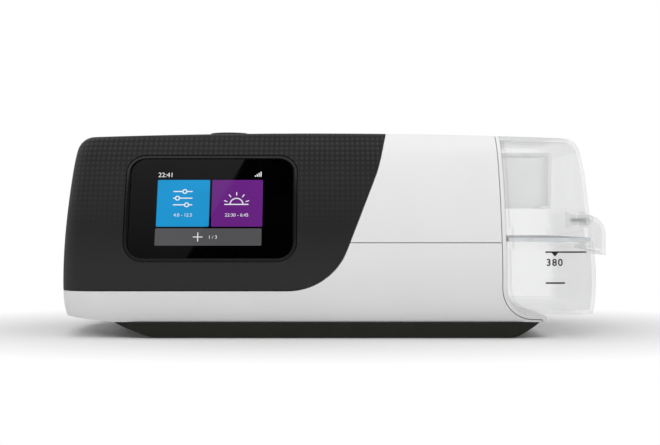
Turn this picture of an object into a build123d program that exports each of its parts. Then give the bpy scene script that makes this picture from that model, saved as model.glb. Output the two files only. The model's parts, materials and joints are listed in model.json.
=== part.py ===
"""Bedside CPAP machine with a touch screen and a slide-out water tub, in millimetres.

X runs from left to right as seen from the front, Y from front to back and Z up.
The origin is on the table, under the middle of the machine.

The casing is one soft-edged form, cut into its shells along the seams. The same form,
drawn in by the walls and gaps between, gives the tub bay and the tub that slides in it.
"""
from build123d import *
from collections import namedtuple
from copy import deepcopy
from functools import lru_cache
from math import asin, cos, degrees, pi, radians, sin, sqrt, tan
import os

REACH = 220.0               # longer than any cut has to go

# Casing form: the widest planes, before the sections draw each side in
CASE_LEFT = -125.6
CASE_RIGHT = 117.6
CASE_FRONT = -69.25
CASE_BACK = 61.0
CASE_BOTTOM = 7.2
CASE_TOP = 94.5
LEFT_CORNER_R = 16.0
LEFT_BOW_DEG = 10.0         # how far the left end's arc turns each way
RIGHT_CORNER_R = 12.0
CROWN_X = -10.0             # highest point of the slightly domed top
CROWN_Y = 20.0
CROWN_RX = 3000.0
CROWN_RY = 870.0
TOP_EDGE_R = 9.0
SLANT_X = -97.0             # left of this the underside rises
SLANT_DEG = 6.5

# How far each side stands in, by height over the casing's bottom
Section = namedtuple("Section", "rise left right front back")
SECTIONS = (
    Section(0.0, 2.4, 1.6, 6.5, 4.5),
    Section(4.8, 0.8, 0.5, 3.0, 2.0),
    Section(10.8, 0.1, 0.1, 1.0, 0.6),
    Section(18.8, 0.0, 0.0, 0.0, 0.0),
    Section(30.8, 0.2, 0.4, 1.2, 0.3),
    Section(42.8, 0.7, 1.4, 4.3, 1.0),
    Section(54.8, 1.5, 2.0, 8.6, 2.0),
    Section(66.8, 2.5, 2.5, 14.2, 3.6),
    Section(77.8, 3.8, 3.4, 21.8, 5.8),
    Section(89.9, 6.3, 5.3, 34.0, 9.5),
)

# Walls, seams and clearances
WALL = 2.2                  # casing shells
SEAM = 0.3                  # open seam between shells, and between seated pieces
RUN = 0.05                  # radial clearance of a turning fit
SLIP = 0.4                  # clearance round a piece that is lifted in
BAY_WALL = 1.3
TUB_CLEAR = 0.7             # tub to bay, all round
TUB_WALL = 1.8

# Seams of the casing
FASCIA_LOW = 21.4           # level lower edge of the fascia
FASCIA_CORNER_X = -0.9
FASCIA_CORNER_R = 28.0
FASCIA_KNEE = (20.4, 75.8)  # where the leaning edge turns steeper
FASCIA_KNEE_R = 60.0
FASCIA_TOP_LEAN = 0.2275    # run over rise above the knee
COVER_LOW = 42.3            # seam between lower housing and upper cover
REAR_SEAM_Y = 40.0
SEAM_X = 74.5               # right end of the shells
SEAM_LOW = 8.2              # top of the lip under the tub
SEAM_CORNER_R = 14.5
LIP_X = 92.8
LIP_R = 1.0
RIM = 1.9                   # width of the bay's rim
TUB_GAP = 0.5               # rim to tub

# Base and feet
BASE_LEFT = -99.5
BASE_RIGHT = 94.0
BASE_FRONT = -63.6
BASE_BACK = 54.0
BASE_LEFT_RUN = 18.8        # how far each end slopes in towards the table
BASE_RIGHT_RUN = 12.5
BASE_END_R = 9.0
BASE_CORNER_R = 13.0
BASE_TAPER = 7.0            # degrees that its front and back lean in
BASE_LIFT = 0.3             # the feet hold the base off the table
BASE_WALL = 2.4
RIB = 1.6
FOOT_R = 7.0
FOOT_IN_X = 12.0            # foot centres, in from the foot of the end slopes
FOOT_IN_Y = 13.0
FOOT_HEIGHT = 1.4
SCREW_R = 1.5
SCREW_HEAD_R = 3.0
SCREW_HEAD = 2.0
SCREW_BOSS_R = 4.0
SCREW_LENGTH = 13.0
SCREW_DRIVE_R = 1.2
SCREW_IN_X = 44.0
SCREW_IN_Y = 10.0

# Screen
SCREEN_X = -54.35
SCREEN_Z = 57.8
SCREEN_Y = CASE_FRONT + 10.4
SCREEN_TILT = 20.5
SCREEN_WIDTH = 77.0         # opening in the fascia
SCREEN_HEIGHT = 51.6
SCREEN_R = 9.0
BEVEL = 2.0                 # sloping band of the surround
GLASS = 1.2
DISPLAY_WIDTH = 57.0
DISPLAY_HEIGHT = 42.0
DISPLAY_THICK = 2.6
BOARD = 1.6
SURROUND_LAND = 1.2
COLLAR = 8.0                # fascia's collar behind the opening

# Start button
BUTTON_X = -49.6
BUTTON_Y = -12.0
BUTTON_R = 9.2
BUTTON_TOP = 94.2
BUTTON_FLANGE = 1.4
BUTTON_FLANGE_R = 10.8
BUTTON_STEM_R = 3.0
BUTTON_CAP = 3.5
DOME_HEIGHT = 3.0
DOME_R = 5.0
BUTTON_STEM = 3.0
BUTTON_BOARD = 24.0
BUTTON_POST_R = 1.6
BUTTON_POST = 10.0          # post centres, out from the button's on each side

# Tub
TUB_LEFT = 4.4
TUB_TAIL = 13.0             # how far the inner part runs on past the rim
TUB_SPLIT = 43.0
SEAL = 1.6
SEAL_IN = 0.7               # groove in front of the seal
RIM_THICK = 3.4
BASE_RIM = 3.6
LID_RIM = 4.4
HEAT_LEFT = 13.0
HEAT_RIGHT = 69.0
HEAT_FRONT = -42.0
HEAT_BACK = 32.0
HEAT_R = 8.0
HEAT_PLATE = 1.2
HEAT_LAP = 3.0

# Ports between the machine and the tub
PORT_Z = 69.0
PORT_IN_Y = -23.0
PORT_OUT_Y = 24.0
PORT_SIZE = 17.0
PORT_R = 6.0
PORT_SEAL = 2.6
DUCT_WALL = 1.2
IN_DUCT_LENGTH = 94.0
IN_DUCT_LOW = 58.0
IN_DUCT_HIGH = 83.6
IN_DUCT_FRONT = -41.0
IN_DUCT_BACK = -12.0
OUT_DUCT_LENGTH = 46.0

# Latch at the right end of the tub
LATCH_Y = -4.0
LATCH_WIDTH = 34.0
LATCH_OUT = 129.7
LATCH_PIVOT_X = 120.6
LATCH_PIVOT_Z = 52.6
LATCH_LOW = 36.0
LATCH_THICK = 1.9
LATCH_PIN_R = 1.0
LATCH_BARREL_R = 2.4
LATCH_HOOK_Z = 39.6
EAR = 3.0
CATCH_OUT = 121.6
CATCH_THICK = 2.0

# Lid hinge at the left end of the tub
HINGE_R = 1.7
HINGE_PIN_R = 0.8
HINGE_X = 2.4
KNUCKLE = 9.0
HINGE_Y = (-36.0, 28.0)

# Heater under the tub
HEATER_THICK = 2.4
HEATER_SIDE = 0.5
HEATER_SPRING_R = 3.0
HEATER_WIRE_R = 0.4
HEATER_SPRING_TURNS = 2.5
CARRIER_FLOOR = 1.6
CARRIER_WALL = 1.6

# Air outlet
CONNECTOR_R = 11.0
CONNECTOR_BORE_R = 8.8
CONNECTOR_END = 69.25
ELBOW_R = 13.0
ELBOW_LEAD = 6.0
RECESS_R = 17.0
RECESS_WALL = 1.6
RECESS_Y = 48.0
SEAL_RING = 2.2
STOP_COLLAR = 1.4           # ring that the hose's cuff is pushed on to

# Power inlet
POWER_X = -54.0
POWER_Z = 33.0
POWER_WIDTH = 14.0
POWER_HEIGHT = 8.0
POWER_DEPTH = 13.5
POWER_WALL = 2.0
POWER_PIN_R = 0.8
POWER_PIN = 8.0
POWER_PIN_PITCH = 4.0

# Air filter and its cover
FILTER_X = -89.0
FILTER_Z = 44.0
FILTER_WIDTH = 36.0
FILTER_HEIGHT = 36.0
FILTER_PAD = 4.0
FILTER_FRAME = 2.0
FILTER_FRONT = 7.0          # pad's front, in from the casing's back
FILTER_RIB = 1.2
FILTER_BARS = 3
DOOR_R = 1.1                # barrels and pins of the two small doors
DOOR_PIN_R = 0.6
DOOR_PIN_END = 2.5
DOOR_SKIN_GAP = 0.4         # skin of the card door starts this far above its axis
FILTER_DOOR_R = 4.0
LOUVRES = 7
LOUVRE_PITCH = 3.4
LOUVRE_HEIGHT = 1.6
LOUVRE_WIDTH = 24.0

# Memory card at the left end
CARD_Y = -4.0
CARD_Z = 38.0
CARD_WIDTH = 24.0
CARD_LENGTH = 32.0
CARD_THICK = 2.1
CARD_NICK = 4.0             # its cut corner
CARD_IN = 4.5               # card's edge, in from the casing's left end
CARD_DOOR_WIDTH = 28.0
CARD_DOOR_HEIGHT = 10.0
CARD_DOOR_R = 1.5
SLOT_WALL = 1.6
SLOT_LEG = 5.5

# Main board
BOARD_LEFT = -108.0
BOARD_RIGHT = -10.0
BOARD_FRONT = -26.0
BOARD_BACK = 32.0
BOARD_Z = 14.0
BOARD_HOLE_IN = 5.0
POST_R = 3.0
PCB_SCREW_R = 1.0
PCB_SCREW_HEAD_R = 2.0
PCB_SCREW_HEAD = 1.4
PCB_SCREW_LENGTH = 4.0

# Blower
BLOWER_X = -76.0
SCROLL_MIN = 26.0           # inner radii of the spiral, where it starts and where it leaves
SCROLL_MAX = 38.0
OUTLET_WIDTH = 20.0
VOLUTE_HEIGHT = 19.0
VOLUTE_WALL = 1.5
VOLUTE_FLANGE = 2.0
EYE_R = 11.0
EYE_LIP = 2.0
IMPELLER_R = 21.0
IMPELLER_HEIGHT = 11.0
IMPELLER_FLOOR = 1.2        # gap under the back plate
IMPELLER_BLADES = 11
BLADE_THICK = 1.0
HUB_R = 4.5
SHAFT_R = 1.5
MOTOR_R = 16.0
MOTOR_HEIGHT = 17.0
MOTOR_FLANGE_R = 19.0
MOUNT_R = 5.0
MOUNT_HEIGHT = 6.0
MOUNT_PIN_R = 2.0
MOUNT_PIN = 3.0
MOUNT_OFFSET = 31.0
CRADLE_Z = 30.0
CRADLE = 2.0
CRADLE_POST_R = 4.0
CRADLE_LEG_X = 32.0
LEG_SOCKET = 1.5
BOOT = 1.8
BOOT_LAP = 4.0
BOOT_GAP = 6.0
MUFFLER_THICK = 7.0
MUFFLER_HALF = 27.0


def along_y(sketch, y_from, y_to):
    """Run a sketch drawn in X and Z from one Y to another."""
    return extrude(Plane.XZ.offset(-y_from) * sketch, y_to - y_from, dir=(0, 1, 0))


def along_x(sketch, x_from, x_to):
    """Run a sketch drawn in Y and Z from one X to another."""
    return extrude(Plane.YZ.offset(x_from) * sketch, x_to - x_from, dir=(1, 0, 0))


def along_z(sketch, z_from, z_to):
    """Run a sketch drawn in X and Y from one Z to another."""
    return extrude(Plane.XY.offset(z_from) * sketch, z_to - z_from, dir=(0, 0, 1))


def block(x_from, x_to, y_from, y_to, z_from, z_to):
    """A box between six planes."""
    box = Box(x_to - x_from, y_to - y_from, z_to - z_from, align=(Align.MIN,) * 3)
    return Pos(x_from, y_from, z_from) * box


def rounded(x_from, x_to, y_from, y_to, radius):
    """A rounded rectangle between two pairs of edges."""
    middle = Pos((x_from + x_to) / 2, (y_from + y_to) / 2)
    return middle * RectangleRounded(x_to - x_from, y_to - y_from, radius)


# ---------------------------------------------------------------- casing form

def ring(section, inset):
    """One level outline of the casing, with a bowed left end."""
    z = CASE_BOTTOM + section.rise
    left = CASE_LEFT + section.left + inset
    right = CASE_RIGHT - section.right - inset
    front = CASE_FRONT + section.front + inset
    back = CASE_BACK - section.back - inset
    left_r = LEFT_CORNER_R - inset
    right_r = RIGHT_CORNER_R - inset
    bow = LEFT_BOW_DEG
    spread = (back - front) / 2 - left_r
    bow_r = left_r + spread / sin(radians(bow))
    corner_x = left + bow_r - spread / tan(radians(bow))
    arcs = (
        (right - right_r, front + right_r, right_r, -90, 90),
        (right - right_r, back - right_r, right_r, 0, 90),
        (corner_x, back - left_r, left_r, 90, 90 - bow),
        (left + bow_r, (front + back) / 2, bow_r, 180 - bow, 2 * bow),
        (corner_x, front + left_r, left_r, 180 + bow, 90 - bow),
    )
    edges = []
    last = (corner_x, front, z)
    for x, y, radius, start, sweep_deg in arcs:
        on_arc = []
        for share in (0, 0.5, 1):
            angle = radians(start + sweep_deg * share)
            on_arc.append((x + radius * cos(angle), y + radius * sin(angle), z))
        if start in (-90, 0, 90):
            edges.append(Edge.make_line(last, on_arc[0]))
        edges.append(Edge.make_three_point_arc(*on_arc))
        last = on_arc[2]
    return Wire(edges)


def crown(inset):
    """Everything under the domed top."""
    top = CASE_TOP - inset
    radius = CROWN_RY - inset
    drop = radius - sqrt(radius * radius - REACH * REACH / 4)
    front = CROWN_Y - REACH / 2
    back = CROWN_Y + REACH / 2
    with BuildSketch(Plane.YZ.offset(CROWN_X)) as profile:
        with BuildLine():
            ThreePointArc((front, top - drop), (CROWN_Y, top), (back, top - drop))
            Polyline((back, top - drop), (back, -REACH / 4), (front, -REACH / 4), (front, top - drop))
        make_face()
    across = CROWN_RX - inset
    axis = Axis((CROWN_X, 0, top - across), (0, 1, 0))
    half_turn = degrees(asin(REACH / across))
    return revolve(profile.sketch.rotate(axis, -half_turn), axis, 2 * half_turn)


@lru_cache
def lofted(inset):
    """The casing's outer form, drawn in on every side."""
    body = Solid.make_loft([ring(section, inset) for section in SECTIONS])
    body = body & crown(inset)
    top = body.faces().sort_by(Axis.Z)[-1]
    body = fillet(top.edges(), max(TOP_EDGE_R - inset, 1.0))
    rise = REACH * tan(radians(SLANT_DEG))
    floor = CASE_BOTTOM + inset
    below = Polygon(
        (REACH, floor), (SLANT_X, floor), (SLANT_X - REACH, floor + rise), (SLANT_X - REACH, -REACH),
        (REACH, -REACH),
        align=None,
    )
    return body - along_y(below, -REACH, REACH)


def loaf(inset=0.0):
    """A fresh copy of the form, because a cut can loosen the shape it is made in."""
    return deepcopy(lofted(inset))


def fascia_area(grow=0.0):
    """Front view of the fascia: level below, a large corner, then a leaning edge."""
    knee_x, knee_z = FASCIA_KNEE
    top_x = knee_x + FASCIA_TOP_LEAN * (REACH - knee_z)
    area = Polygon(
        (-REACH, FASCIA_LOW), (FASCIA_CORNER_X, FASCIA_LOW), FASCIA_KNEE, (top_x, REACH), (-REACH, REACH),
        align=None,
    )
    corner = area.vertices().sort_by_distance((FASCIA_CORNER_X, FASCIA_LOW, 0))[0]
    area = fillet(corner, FASCIA_CORNER_R)
    knee = area.vertices().sort_by_distance((knee_x, knee_z, 0))[0]
    area = fillet(knee, FASCIA_KNEE_R)
    if grow:
        area = offset(area, grow)
    return area


def seam_area(out=0.0):
    """Front view of everything left of the tub's seam, moved out towards the tub."""
    right = SEAM_X + out
    low = SEAM_LOW + out
    lip = LIP_X + out
    area = Polygon(
        (-REACH, REACH), (right, REACH), (right, low), (lip, low), (lip, -REACH), (-REACH, -REACH),
        align=None,
    )
    corner = area.vertices().sort_by_distance((right, low, 0))[0]
    area = fillet(corner, SEAM_CORNER_R - out)
    tip = area.vertices().sort_by_distance((lip, low, 0))[0]
    return fillet(tip, LIP_R)


BAY_OUT = WALL + SEAM
BAY_IN = BAY_OUT + BAY_WALL
TUB_IN = BAY_IN + TUB_CLEAR

SEAM_RIGHT = SEAM_X + RIM + TUB_GAP
FLOOR = CASE_BOTTOM + WALL


# ---------------------------------------------------------------- screen

SCREEN_PLANE = Plane(
    origin=(SCREEN_X, SCREEN_Y, SCREEN_Z),
    x_dir=(1, 0, 0),
    z_dir=(0, -cos(radians(SCREEN_TILT)), sin(radians(SCREEN_TILT))),
)


def on_screen(sketch, depth_from, depth_to):
    """Run a sketch drawn on the glass from one depth behind its face to another."""
    return extrude(SCREEN_PLANE.offset(-depth_to) * sketch, depth_to - depth_from)


def screen_outline(inward=0.0):
    """Outline of the opening for the screen, drawn in by inward."""
    return RectangleRounded(SCREEN_WIDTH - 2 * inward, SCREEN_HEIGHT - 2 * inward, SCREEN_R - inward)


def screen_surround():
    """Black ring between fascia and glass, sloping down to the glass, with a land behind it."""
    depth = GLASS + SEAM
    body = on_screen(screen_outline(SEAM), -REACH / 10, depth + SURROUND_LAND) & loaf(SEAM)
    slope = loft([
        SCREEN_PLANE.offset(-SEAM) * screen_outline(BEVEL),
        SCREEN_PLANE.offset(REACH / 40) * screen_outline(SEAM / 2),
    ])
    above = on_screen(screen_outline(SEAM / 2), -REACH / 8, -REACH / 40)
    seat = on_screen(screen_outline(BEVEL - SEAM), -SEAM, depth)
    window = RectangleRounded(DISPLAY_WIDTH - 2, DISPLAY_HEIGHT - 2, 1.0)
    return body - slope - above - seat - on_screen(window, 0, REACH / 10)


def screen_glass():
    """Cover glass, at the foot of the surround's slope."""
    return on_screen(screen_outline(BEVEL), 0, GLASS)


def lcd_module():
    """Display in its frame, against the back of the surround."""
    front = GLASS + SEAM + SURROUND_LAND + SEAM
    frame = on_screen(RectangleRounded(DISPLAY_WIDTH, DISPLAY_HEIGHT, 1.5), front, front + DISPLAY_THICK)
    glass_top = on_screen(Rectangle(DISPLAY_WIDTH - 5, DISPLAY_HEIGHT - 5), GLASS + SEAM, front)
    return frame + glass_top


def display_board():
    """Board behind the display, with its plug."""
    front = GLASS + 3 * SEAM + SURROUND_LAND + DISPLAY_THICK
    board = on_screen(RectangleRounded(DISPLAY_WIDTH + 8, DISPLAY_HEIGHT, 2.0), front, front + BOARD)
    plug = Pos(0, -DISPLAY_HEIGHT / 3) * Rectangle(16, 4)
    return board + on_screen(plug, front + BOARD, front + BOARD + 2.4)


# ---------------------------------------------------------------- casing shells

def shell(region):
    """The part of the casing's wall that lies in a region, up to the tub's seam."""
    return (loaf() & along_y(seam_area(), -REACH, REACH) & region) - loaf(WALL)


def button_hole(radius, z_from, z_to):
    """Round cut about the start button's axis."""
    return along_z(Pos(BUTTON_X, BUTTON_Y) * Circle(radius), z_from, z_to)


def door_area(x, z, width, height, radius):
    """Outline of a small door, round at the top and square at the bottom, where it turns."""
    area = Pos(x, z) * Rectangle(width, height)
    return fillet(area.vertices().sort_by(Axis.Y)[-2:], radius)


def card_door_area(grow=0.0):
    """End view of the card door, grown on every side."""
    return door_area(CARD_Y, CARD_Z, CARD_DOOR_WIDTH + 2 * grow, CARD_DOOR_HEIGHT + 2 * grow, CARD_DOOR_R)


def front_fascia():
    """Dark front of the machine, wrapping over its top, with the screen opening and button hole."""
    body = shell(along_y(fascia_area(), -REACH, REAR_SEAM_Y))
    opening = on_screen(screen_outline(), -REACH / 8, REACH / 10)
    body -= opening
    body -= button_hole(BUTTON_R + SEAM, CASE_TOP - 10, REACH)
    body -= along_x(card_door_area(SEAM), -REACH, CASE_LEFT + 20)
    body -= along_y(card_axis(DOOR_PIN_R + RUN), CARD_Y - CARD_DOOR_WIDTH, CARD_Y + CARD_DOOR_WIDTH)
    collar = on_screen(screen_outline(-RIB) - screen_outline(), -REACH / 8, COLLAR)
    posts = Part()
    for x in (-BUTTON_POST, BUTTON_POST):
        for y in (-BUTTON_POST, BUTTON_POST):
            place = Pos(BUTTON_X + x, BUTTON_Y + y)
            posts += along_z(place * Circle(BUTTON_POST_R), BUTTON_FOOT - DOME_HEIGHT, CASE_TOP)
    return body + ((collar + posts) & loaf(WALL))


def upper_cover():
    """White cover over the bay, from the leaning seam to the tub."""
    region = block(-REACH, REACH, -REACH, REAR_SEAM_Y, COVER_LOW + SEAM, REACH)
    return shell(region - along_y(fascia_area(SEAM), -REACH, REACH))


def filter_door_area(grow=0.0):
    """Back view of the filter door, grown on every side."""
    return door_area(FILTER_X, FILTER_Z, FILTER_WIDTH + 2 * grow, FILTER_HEIGHT + 2 * grow, FILTER_DOOR_R)


def rear_cover():
    """Rear wall with the hose recess, the power inlet hole and the filter opening."""
    body = shell(block(-REACH, REACH, REAR_SEAM_Y + SEAM, REACH, FASCIA_LOW + SEAM, REACH))
    centre = Pos(OUTLET_X, PORT_Z)
    cup = centre * Circle(RECESS_R + RECESS_WALL)
    body += along_y(cup, RECESS_Y - RECESS_WALL, REACH) & loaf()
    body -= along_y(centre * Circle(RECESS_R), RECESS_Y, REACH)
    body -= along_y(centre * Circle(CONNECTOR_R + SLIP), 0, REACH)
    body -= along_y(power_outline(SLIP), 0, REACH)
    body -= along_y(filter_door_area(SEAM), 0, REACH)
    tray = filter_tray_area(FILTER_FRAME + SEAM + RIB) - filter_tray_area(FILTER_FRAME + SEAM)
    body += along_y(tray, FILTER_BACK, CASE_BACK) & loaf(WALL)
    half = FILTER_WIDTH / 2 + DOOR_PIN_END
    return body - along_x(cover_axis(DOOR_PIN_R + RUN), FILTER_X - half, FILTER_X + half)


def base_profile(grow=0.0, low=BASE_LIFT):
    """Front view of the base: level above, with ends sloping in to the table."""
    left_foot = BASE_LEFT + BASE_LEFT_RUN
    right_foot = BASE_RIGHT - BASE_RIGHT_RUN
    area = Polygon(
        (BASE_LEFT + grow, CASE_BOTTOM), (left_foot + grow, low),
        (right_foot - grow, low), (BASE_RIGHT - grow, CASE_BOTTOM),
        align=None,
    )
    feet = area.vertices().sort_by(Axis.Y)[:2]
    return fillet(feet, BASE_END_R)


def base_plan(inward=0.0):
    """Plan of the base's upper edge, drawn in by inward."""
    return rounded(
        BASE_LEFT + inward, BASE_RIGHT - inward,
        BASE_FRONT + inward, BASE_BACK - inward, BASE_CORNER_R - inward,
    )


def foot_places():
    """Feet near the four corners of the base's flat underside."""
    x_from = BASE_LEFT + BASE_LEFT_RUN + FOOT_IN_X
    x_to = BASE_RIGHT - BASE_RIGHT_RUN - FOOT_IN_X
    y_from = BASE_FRONT + FOOT_IN_Y
    y_to = BASE_BACK - FOOT_IN_Y
    return [(x, y) for x in (x_from, x_to) for y in (y_from, y_to)]


def screw_places():
    """Base screws, in from the feet towards the middle."""
    x_from = BASE_LEFT + BASE_LEFT_RUN + SCREW_IN_X
    x_to = -BAY_WALL - SCREW_BOSS_R - 2.0
    y_from = BASE_FRONT + SCREW_IN_Y
    y_to = BASE_BACK - SCREW_IN_Y
    return [(x, y) for x in (x_from, x_to) for y in (y_from, y_to)]


def base_skid():
    """Dark tray under the casing, ribbed at the left and open for the heater at the right."""
    top = Plane.XY.offset(CASE_BOTTOM)
    outer = extrude(top * base_plan(), CASE_BOTTOM, dir=(0, 0, -1), taper=BASE_TAPER)
    outer &= along_y(base_profile(), -REACH, REACH)
    floor = BASE_LIFT + BASE_WALL
    pocket = along_y(base_profile(BASE_WALL, floor), -REACH, REACH)
    pocket &= along_z(base_plan(BASE_WALL), 0, CASE_BOTTOM)
    body = outer - pocket
    for x in (-70.0, -42.0, -14.0):
        body += block(x, x + RIB, BASE_FRONT + 1, BASE_BACK - 1, floor - 0.5, CASE_BOTTOM) & outer
    body += block(BASE_LEFT, 0, -RIB / 2, RIB / 2, floor - 0.5, CASE_BOTTOM) & outer
    for place in screw_places():
        body += along_z(Pos(place) * Circle(SCREW_BOSS_R), BASE_LIFT + 0.1, CASE_BOTTOM)
        body -= along_z(Pos(place) * Circle(SCREW_HEAD_R + SEAM), 0, BASE_LIFT + SCREW_HEAD + SEAM)
        body -= along_z(Pos(place) * Circle(SCREW_R + SEAM), 0, REACH)
    for place in foot_places():
        body -= along_z(Pos(place) * Circle(FOOT_R), 0, FOOT_HEIGHT)
    return body


def rubber_feet():
    """Four pads in the base's pockets."""
    pads = Part()
    for place in foot_places():
        pads += along_z(Pos(place) * Circle(FOOT_R - SEAM / 2), 0, FOOT_HEIGHT)
    return pads


def base_screws():
    """Pan-head screws from below, through the base into the housing's bosses."""
    screws = Part()
    seat = BASE_LIFT + SCREW_HEAD + SEAM
    for place in screw_places():
        screw = along_z(Pos(place) * Circle(SCREW_HEAD_R), BASE_LIFT + SEAM, seat)
        screw += along_z(Pos(place) * Circle(SCREW_R), seat, seat + SCREW_LENGTH)
        screw -= along_z(Pos(place) * RegularPolygon(SCREW_DRIVE_R, 6), 0, BASE_LIFT + SCREW_HEAD / 2)
        screws += screw
    return screws


def board_posts():
    """Posts near the corners of the main board."""
    xs = (BOARD_LEFT + BOARD_HOLE_IN, BOARD_RIGHT - BOARD_HOLE_IN)
    ys = (BOARD_FRONT + BOARD_HOLE_IN, BOARD_BACK - BOARD_HOLE_IN)
    return [(x, y) for x in xs for y in ys]


def cradle_legs():
    """The cradle's legs stand just in front of and behind the main board."""
    aside = POST_R + 2 * LEG_SOCKET
    xs = (BLOWER_X - CRADLE_LEG_X, BLOWER_X + CRADLE_LEG_X)
    ys = (BOARD_FRONT - aside, BOARD_BACK + aside)
    return [(x, y) for x in xs for y in ys]


def lower_housing():
    """White lower shell with the lip under the tub, the heater well and its bosses."""
    region = block(-REACH, REACH, -REACH, REACH, -REACH, COVER_LOW)
    region -= along_y(fascia_area(SEAM), -REACH, REACH)
    region -= block(-REACH, REACH, REAR_SEAM_Y, REACH, FASCIA_LOW, REACH)
    body = shell(region)
    well = rounded(*carrier_box(SLIP), HEAT_R)
    body -= along_z(well, 0, FLOOR + 1)
    for place in screw_places():
        top = BASE_LIFT + SCREW_LENGTH + 4.0
        body += along_z(Pos(place) * Circle(SCREW_BOSS_R), CASE_BOTTOM + 0.2, top)
        body -= along_z(Pos(place) * Circle(SCREW_R + RUN), 0, top - 1.0)
    for place in board_posts():
        body += along_z(Pos(place) * Circle(POST_R), FLOOR - 1, BOARD_Z)
        body -= along_z(Pos(place) * Circle(PCB_SCREW_R + RUN), FLOOR, BOARD_Z)
    for place in cradle_legs():
        socket = Circle(POST_R + SEAM + LEG_SOCKET) - Circle(POST_R + SEAM)
        body += along_z(Pos(place) * socket, FLOOR - 1, FLOOR + 6)
    return body


# ---------------------------------------------------------------- tub bay

def port(y, shrink=0.0):
    """End view of a port in the bulkhead, drawn in by shrink."""
    size = PORT_SIZE - 2 * shrink
    return Pos(y, PORT_Z) * RectangleRounded(size, size, PORT_R - shrink)


def carrier_box(grow=0.0):
    """Plan edges of the heater carrier: the heater plate with its side gap and wall."""
    out = HEATER_SIDE + CARRIER_WALL + grow
    return (HEAT_LEFT - out, HEAT_RIGHT + out, HEAT_FRONT - out, HEAT_BACK + out)


def tub_bay():
    """White sleeve that the tub slides in, with its bulkhead, ports and outer rim."""
    left = along_y(seam_area(RIM), -REACH, REACH)
    body = loaf(BAY_OUT) & left & block(-BAY_WALL, REACH, -REACH, REACH, 0, REACH)
    body += (loaf() & left) - along_y(seam_area(SEAM), -REACH, REACH)
    body -= loaf(BAY_IN) & block(0, REACH, -REACH, REACH, 0, REACH)
    for y in (PORT_IN_Y, PORT_OUT_Y):
        body -= along_x(port(y), -REACH / 20, REACH / 20)
    window = rounded(HEAT_LEFT - HEATER_SIDE, HEAT_RIGHT + HEATER_SIDE,
                     HEAT_FRONT - HEATER_SIDE, HEAT_BACK + HEATER_SIDE, HEAT_R)
    return body - along_z(window, 0, FLOOR + 10)


def port_seals():
    """Two silicone rings between the bulkhead and the tub."""
    rings = Part()
    for y in (PORT_IN_Y, PORT_OUT_Y):
        rings += along_x(port(y, -PORT_SEAL) - port(y), SEAM / 2, TUB_LEFT - SEAM)
    return rings


# ---------------------------------------------------------------- tub

def bay_section(inset):
    """Cross-section of the casing form at the tub's seam, drawn in by inset."""
    return section(loaf(inset), section_by=Plane.YZ.offset(SEAM_RIGHT))


@lru_cache
def tub_block(skin):
    """The part of the tub outside the bay, joined to the part that slides in."""
    out = RIM + TUB_GAP + skin
    outside = loaf(skin) - along_y(seam_area(out), -REACH, REACH)
    outside -= block(-REACH, REACH, -REACH, REACH, 0, SEAM_LOW + out)
    profile = bay_section(TUB_IN + skin)
    left_end = TUB_LEFT + skin
    run = SEAM_RIGHT - left_end
    inside = extrude(profile, -run) + extrude(profile, TUB_TAIL - skin)
    return outside + inside


def tub_form(skin=0.0):
    """The tub's outside with no skin, or its inside with the wall as skin."""
    return deepcopy(tub_block(skin))


def tub_wall(z_from, z_to, skin_from=0.0, skin_to=TUB_WALL):
    """The tub's wall between two heights, or another layer of it."""
    return (tub_form(skin_from) & block(-REACH, REACH, -REACH, REACH, z_from, z_to)) - tub_form(skin_to)


def heat_window(inward):
    """Plan of the opening in the tub's floor, drawn in by inward."""
    return rounded(HEAT_LEFT + inward, HEAT_RIGHT - inward, HEAT_FRONT + inward, HEAT_BACK - inward, HEAT_R)


def tub_base():
    """Clear lower half of the tub, with the plate's opening, the catch and the knuckles."""
    body = tub_wall(0, TUB_SPLIT) + tub_wall(TUB_SPLIT - BASE_RIM, TUB_SPLIT, 0.0, RIM_THICK)
    floor = CASE_BOTTOM + TUB_IN
    body -= along_z(heat_window(HEAT_LAP), 0, floor + 5)
    body -= along_z(heat_window(0), 0, floor + HEAT_PLATE)
    catch = block(CASE_RIGHT - 4, CATCH_OUT, LATCH_Y - LATCH_WIDTH / 2, LATCH_Y + LATCH_WIDTH / 2,
                  TUB_SPLIT - CATCH_THICK, TUB_SPLIT)
    body += catch - tub_form(TUB_WALL)
    return body + knuckles(0)


def tub_heat_plate():
    """Metal plate in the tub's floor, stepped up through its opening."""
    floor = CASE_BOTTOM + TUB_IN
    plate = along_z(heat_window(SEAM / 2), floor, floor + HEAT_PLATE)
    return plate + along_z(heat_window(HEAT_LAP + SEAM), floor, floor + TUB_WALL + 1.0)


def tub_lid():
    """Clear upper half of the tub, with its ports and the ears for the latch."""
    low = TUB_SPLIT + SEAL
    body = tub_wall(low, REACH) + tub_wall(low, low + LID_RIM, 0.0, RIM_THICK)
    for y in (PORT_IN_Y, PORT_OUT_Y):
        body -= along_x(port(y), 0, TUB_LEFT + 5)
    for y in (LATCH_Y - LATCH_WIDTH / 2 - EAR, LATCH_Y + LATCH_WIDTH / 2):
        ear = Pos(LATCH_PIVOT_X, LATCH_PIVOT_Z) * Circle(LATCH_BARREL_R)
        ear += Polygon(
            (CASE_RIGHT - 6, LATCH_PIVOT_Z - 5), (LATCH_PIVOT_X, LATCH_PIVOT_Z - LATCH_BARREL_R),
            (LATCH_PIVOT_X, LATCH_PIVOT_Z + LATCH_BARREL_R), (CASE_RIGHT - 6, LATCH_PIVOT_Z + 6),
            align=None,
        )
        body += along_y(ear, y, y + EAR) - tub_form(TUB_WALL)
    body -= along_y(Pos(LATCH_PIVOT_X, LATCH_PIVOT_Z) * Circle(LATCH_PIN_R + RUN), -REACH, REACH)
    return body + knuckles(1)


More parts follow.
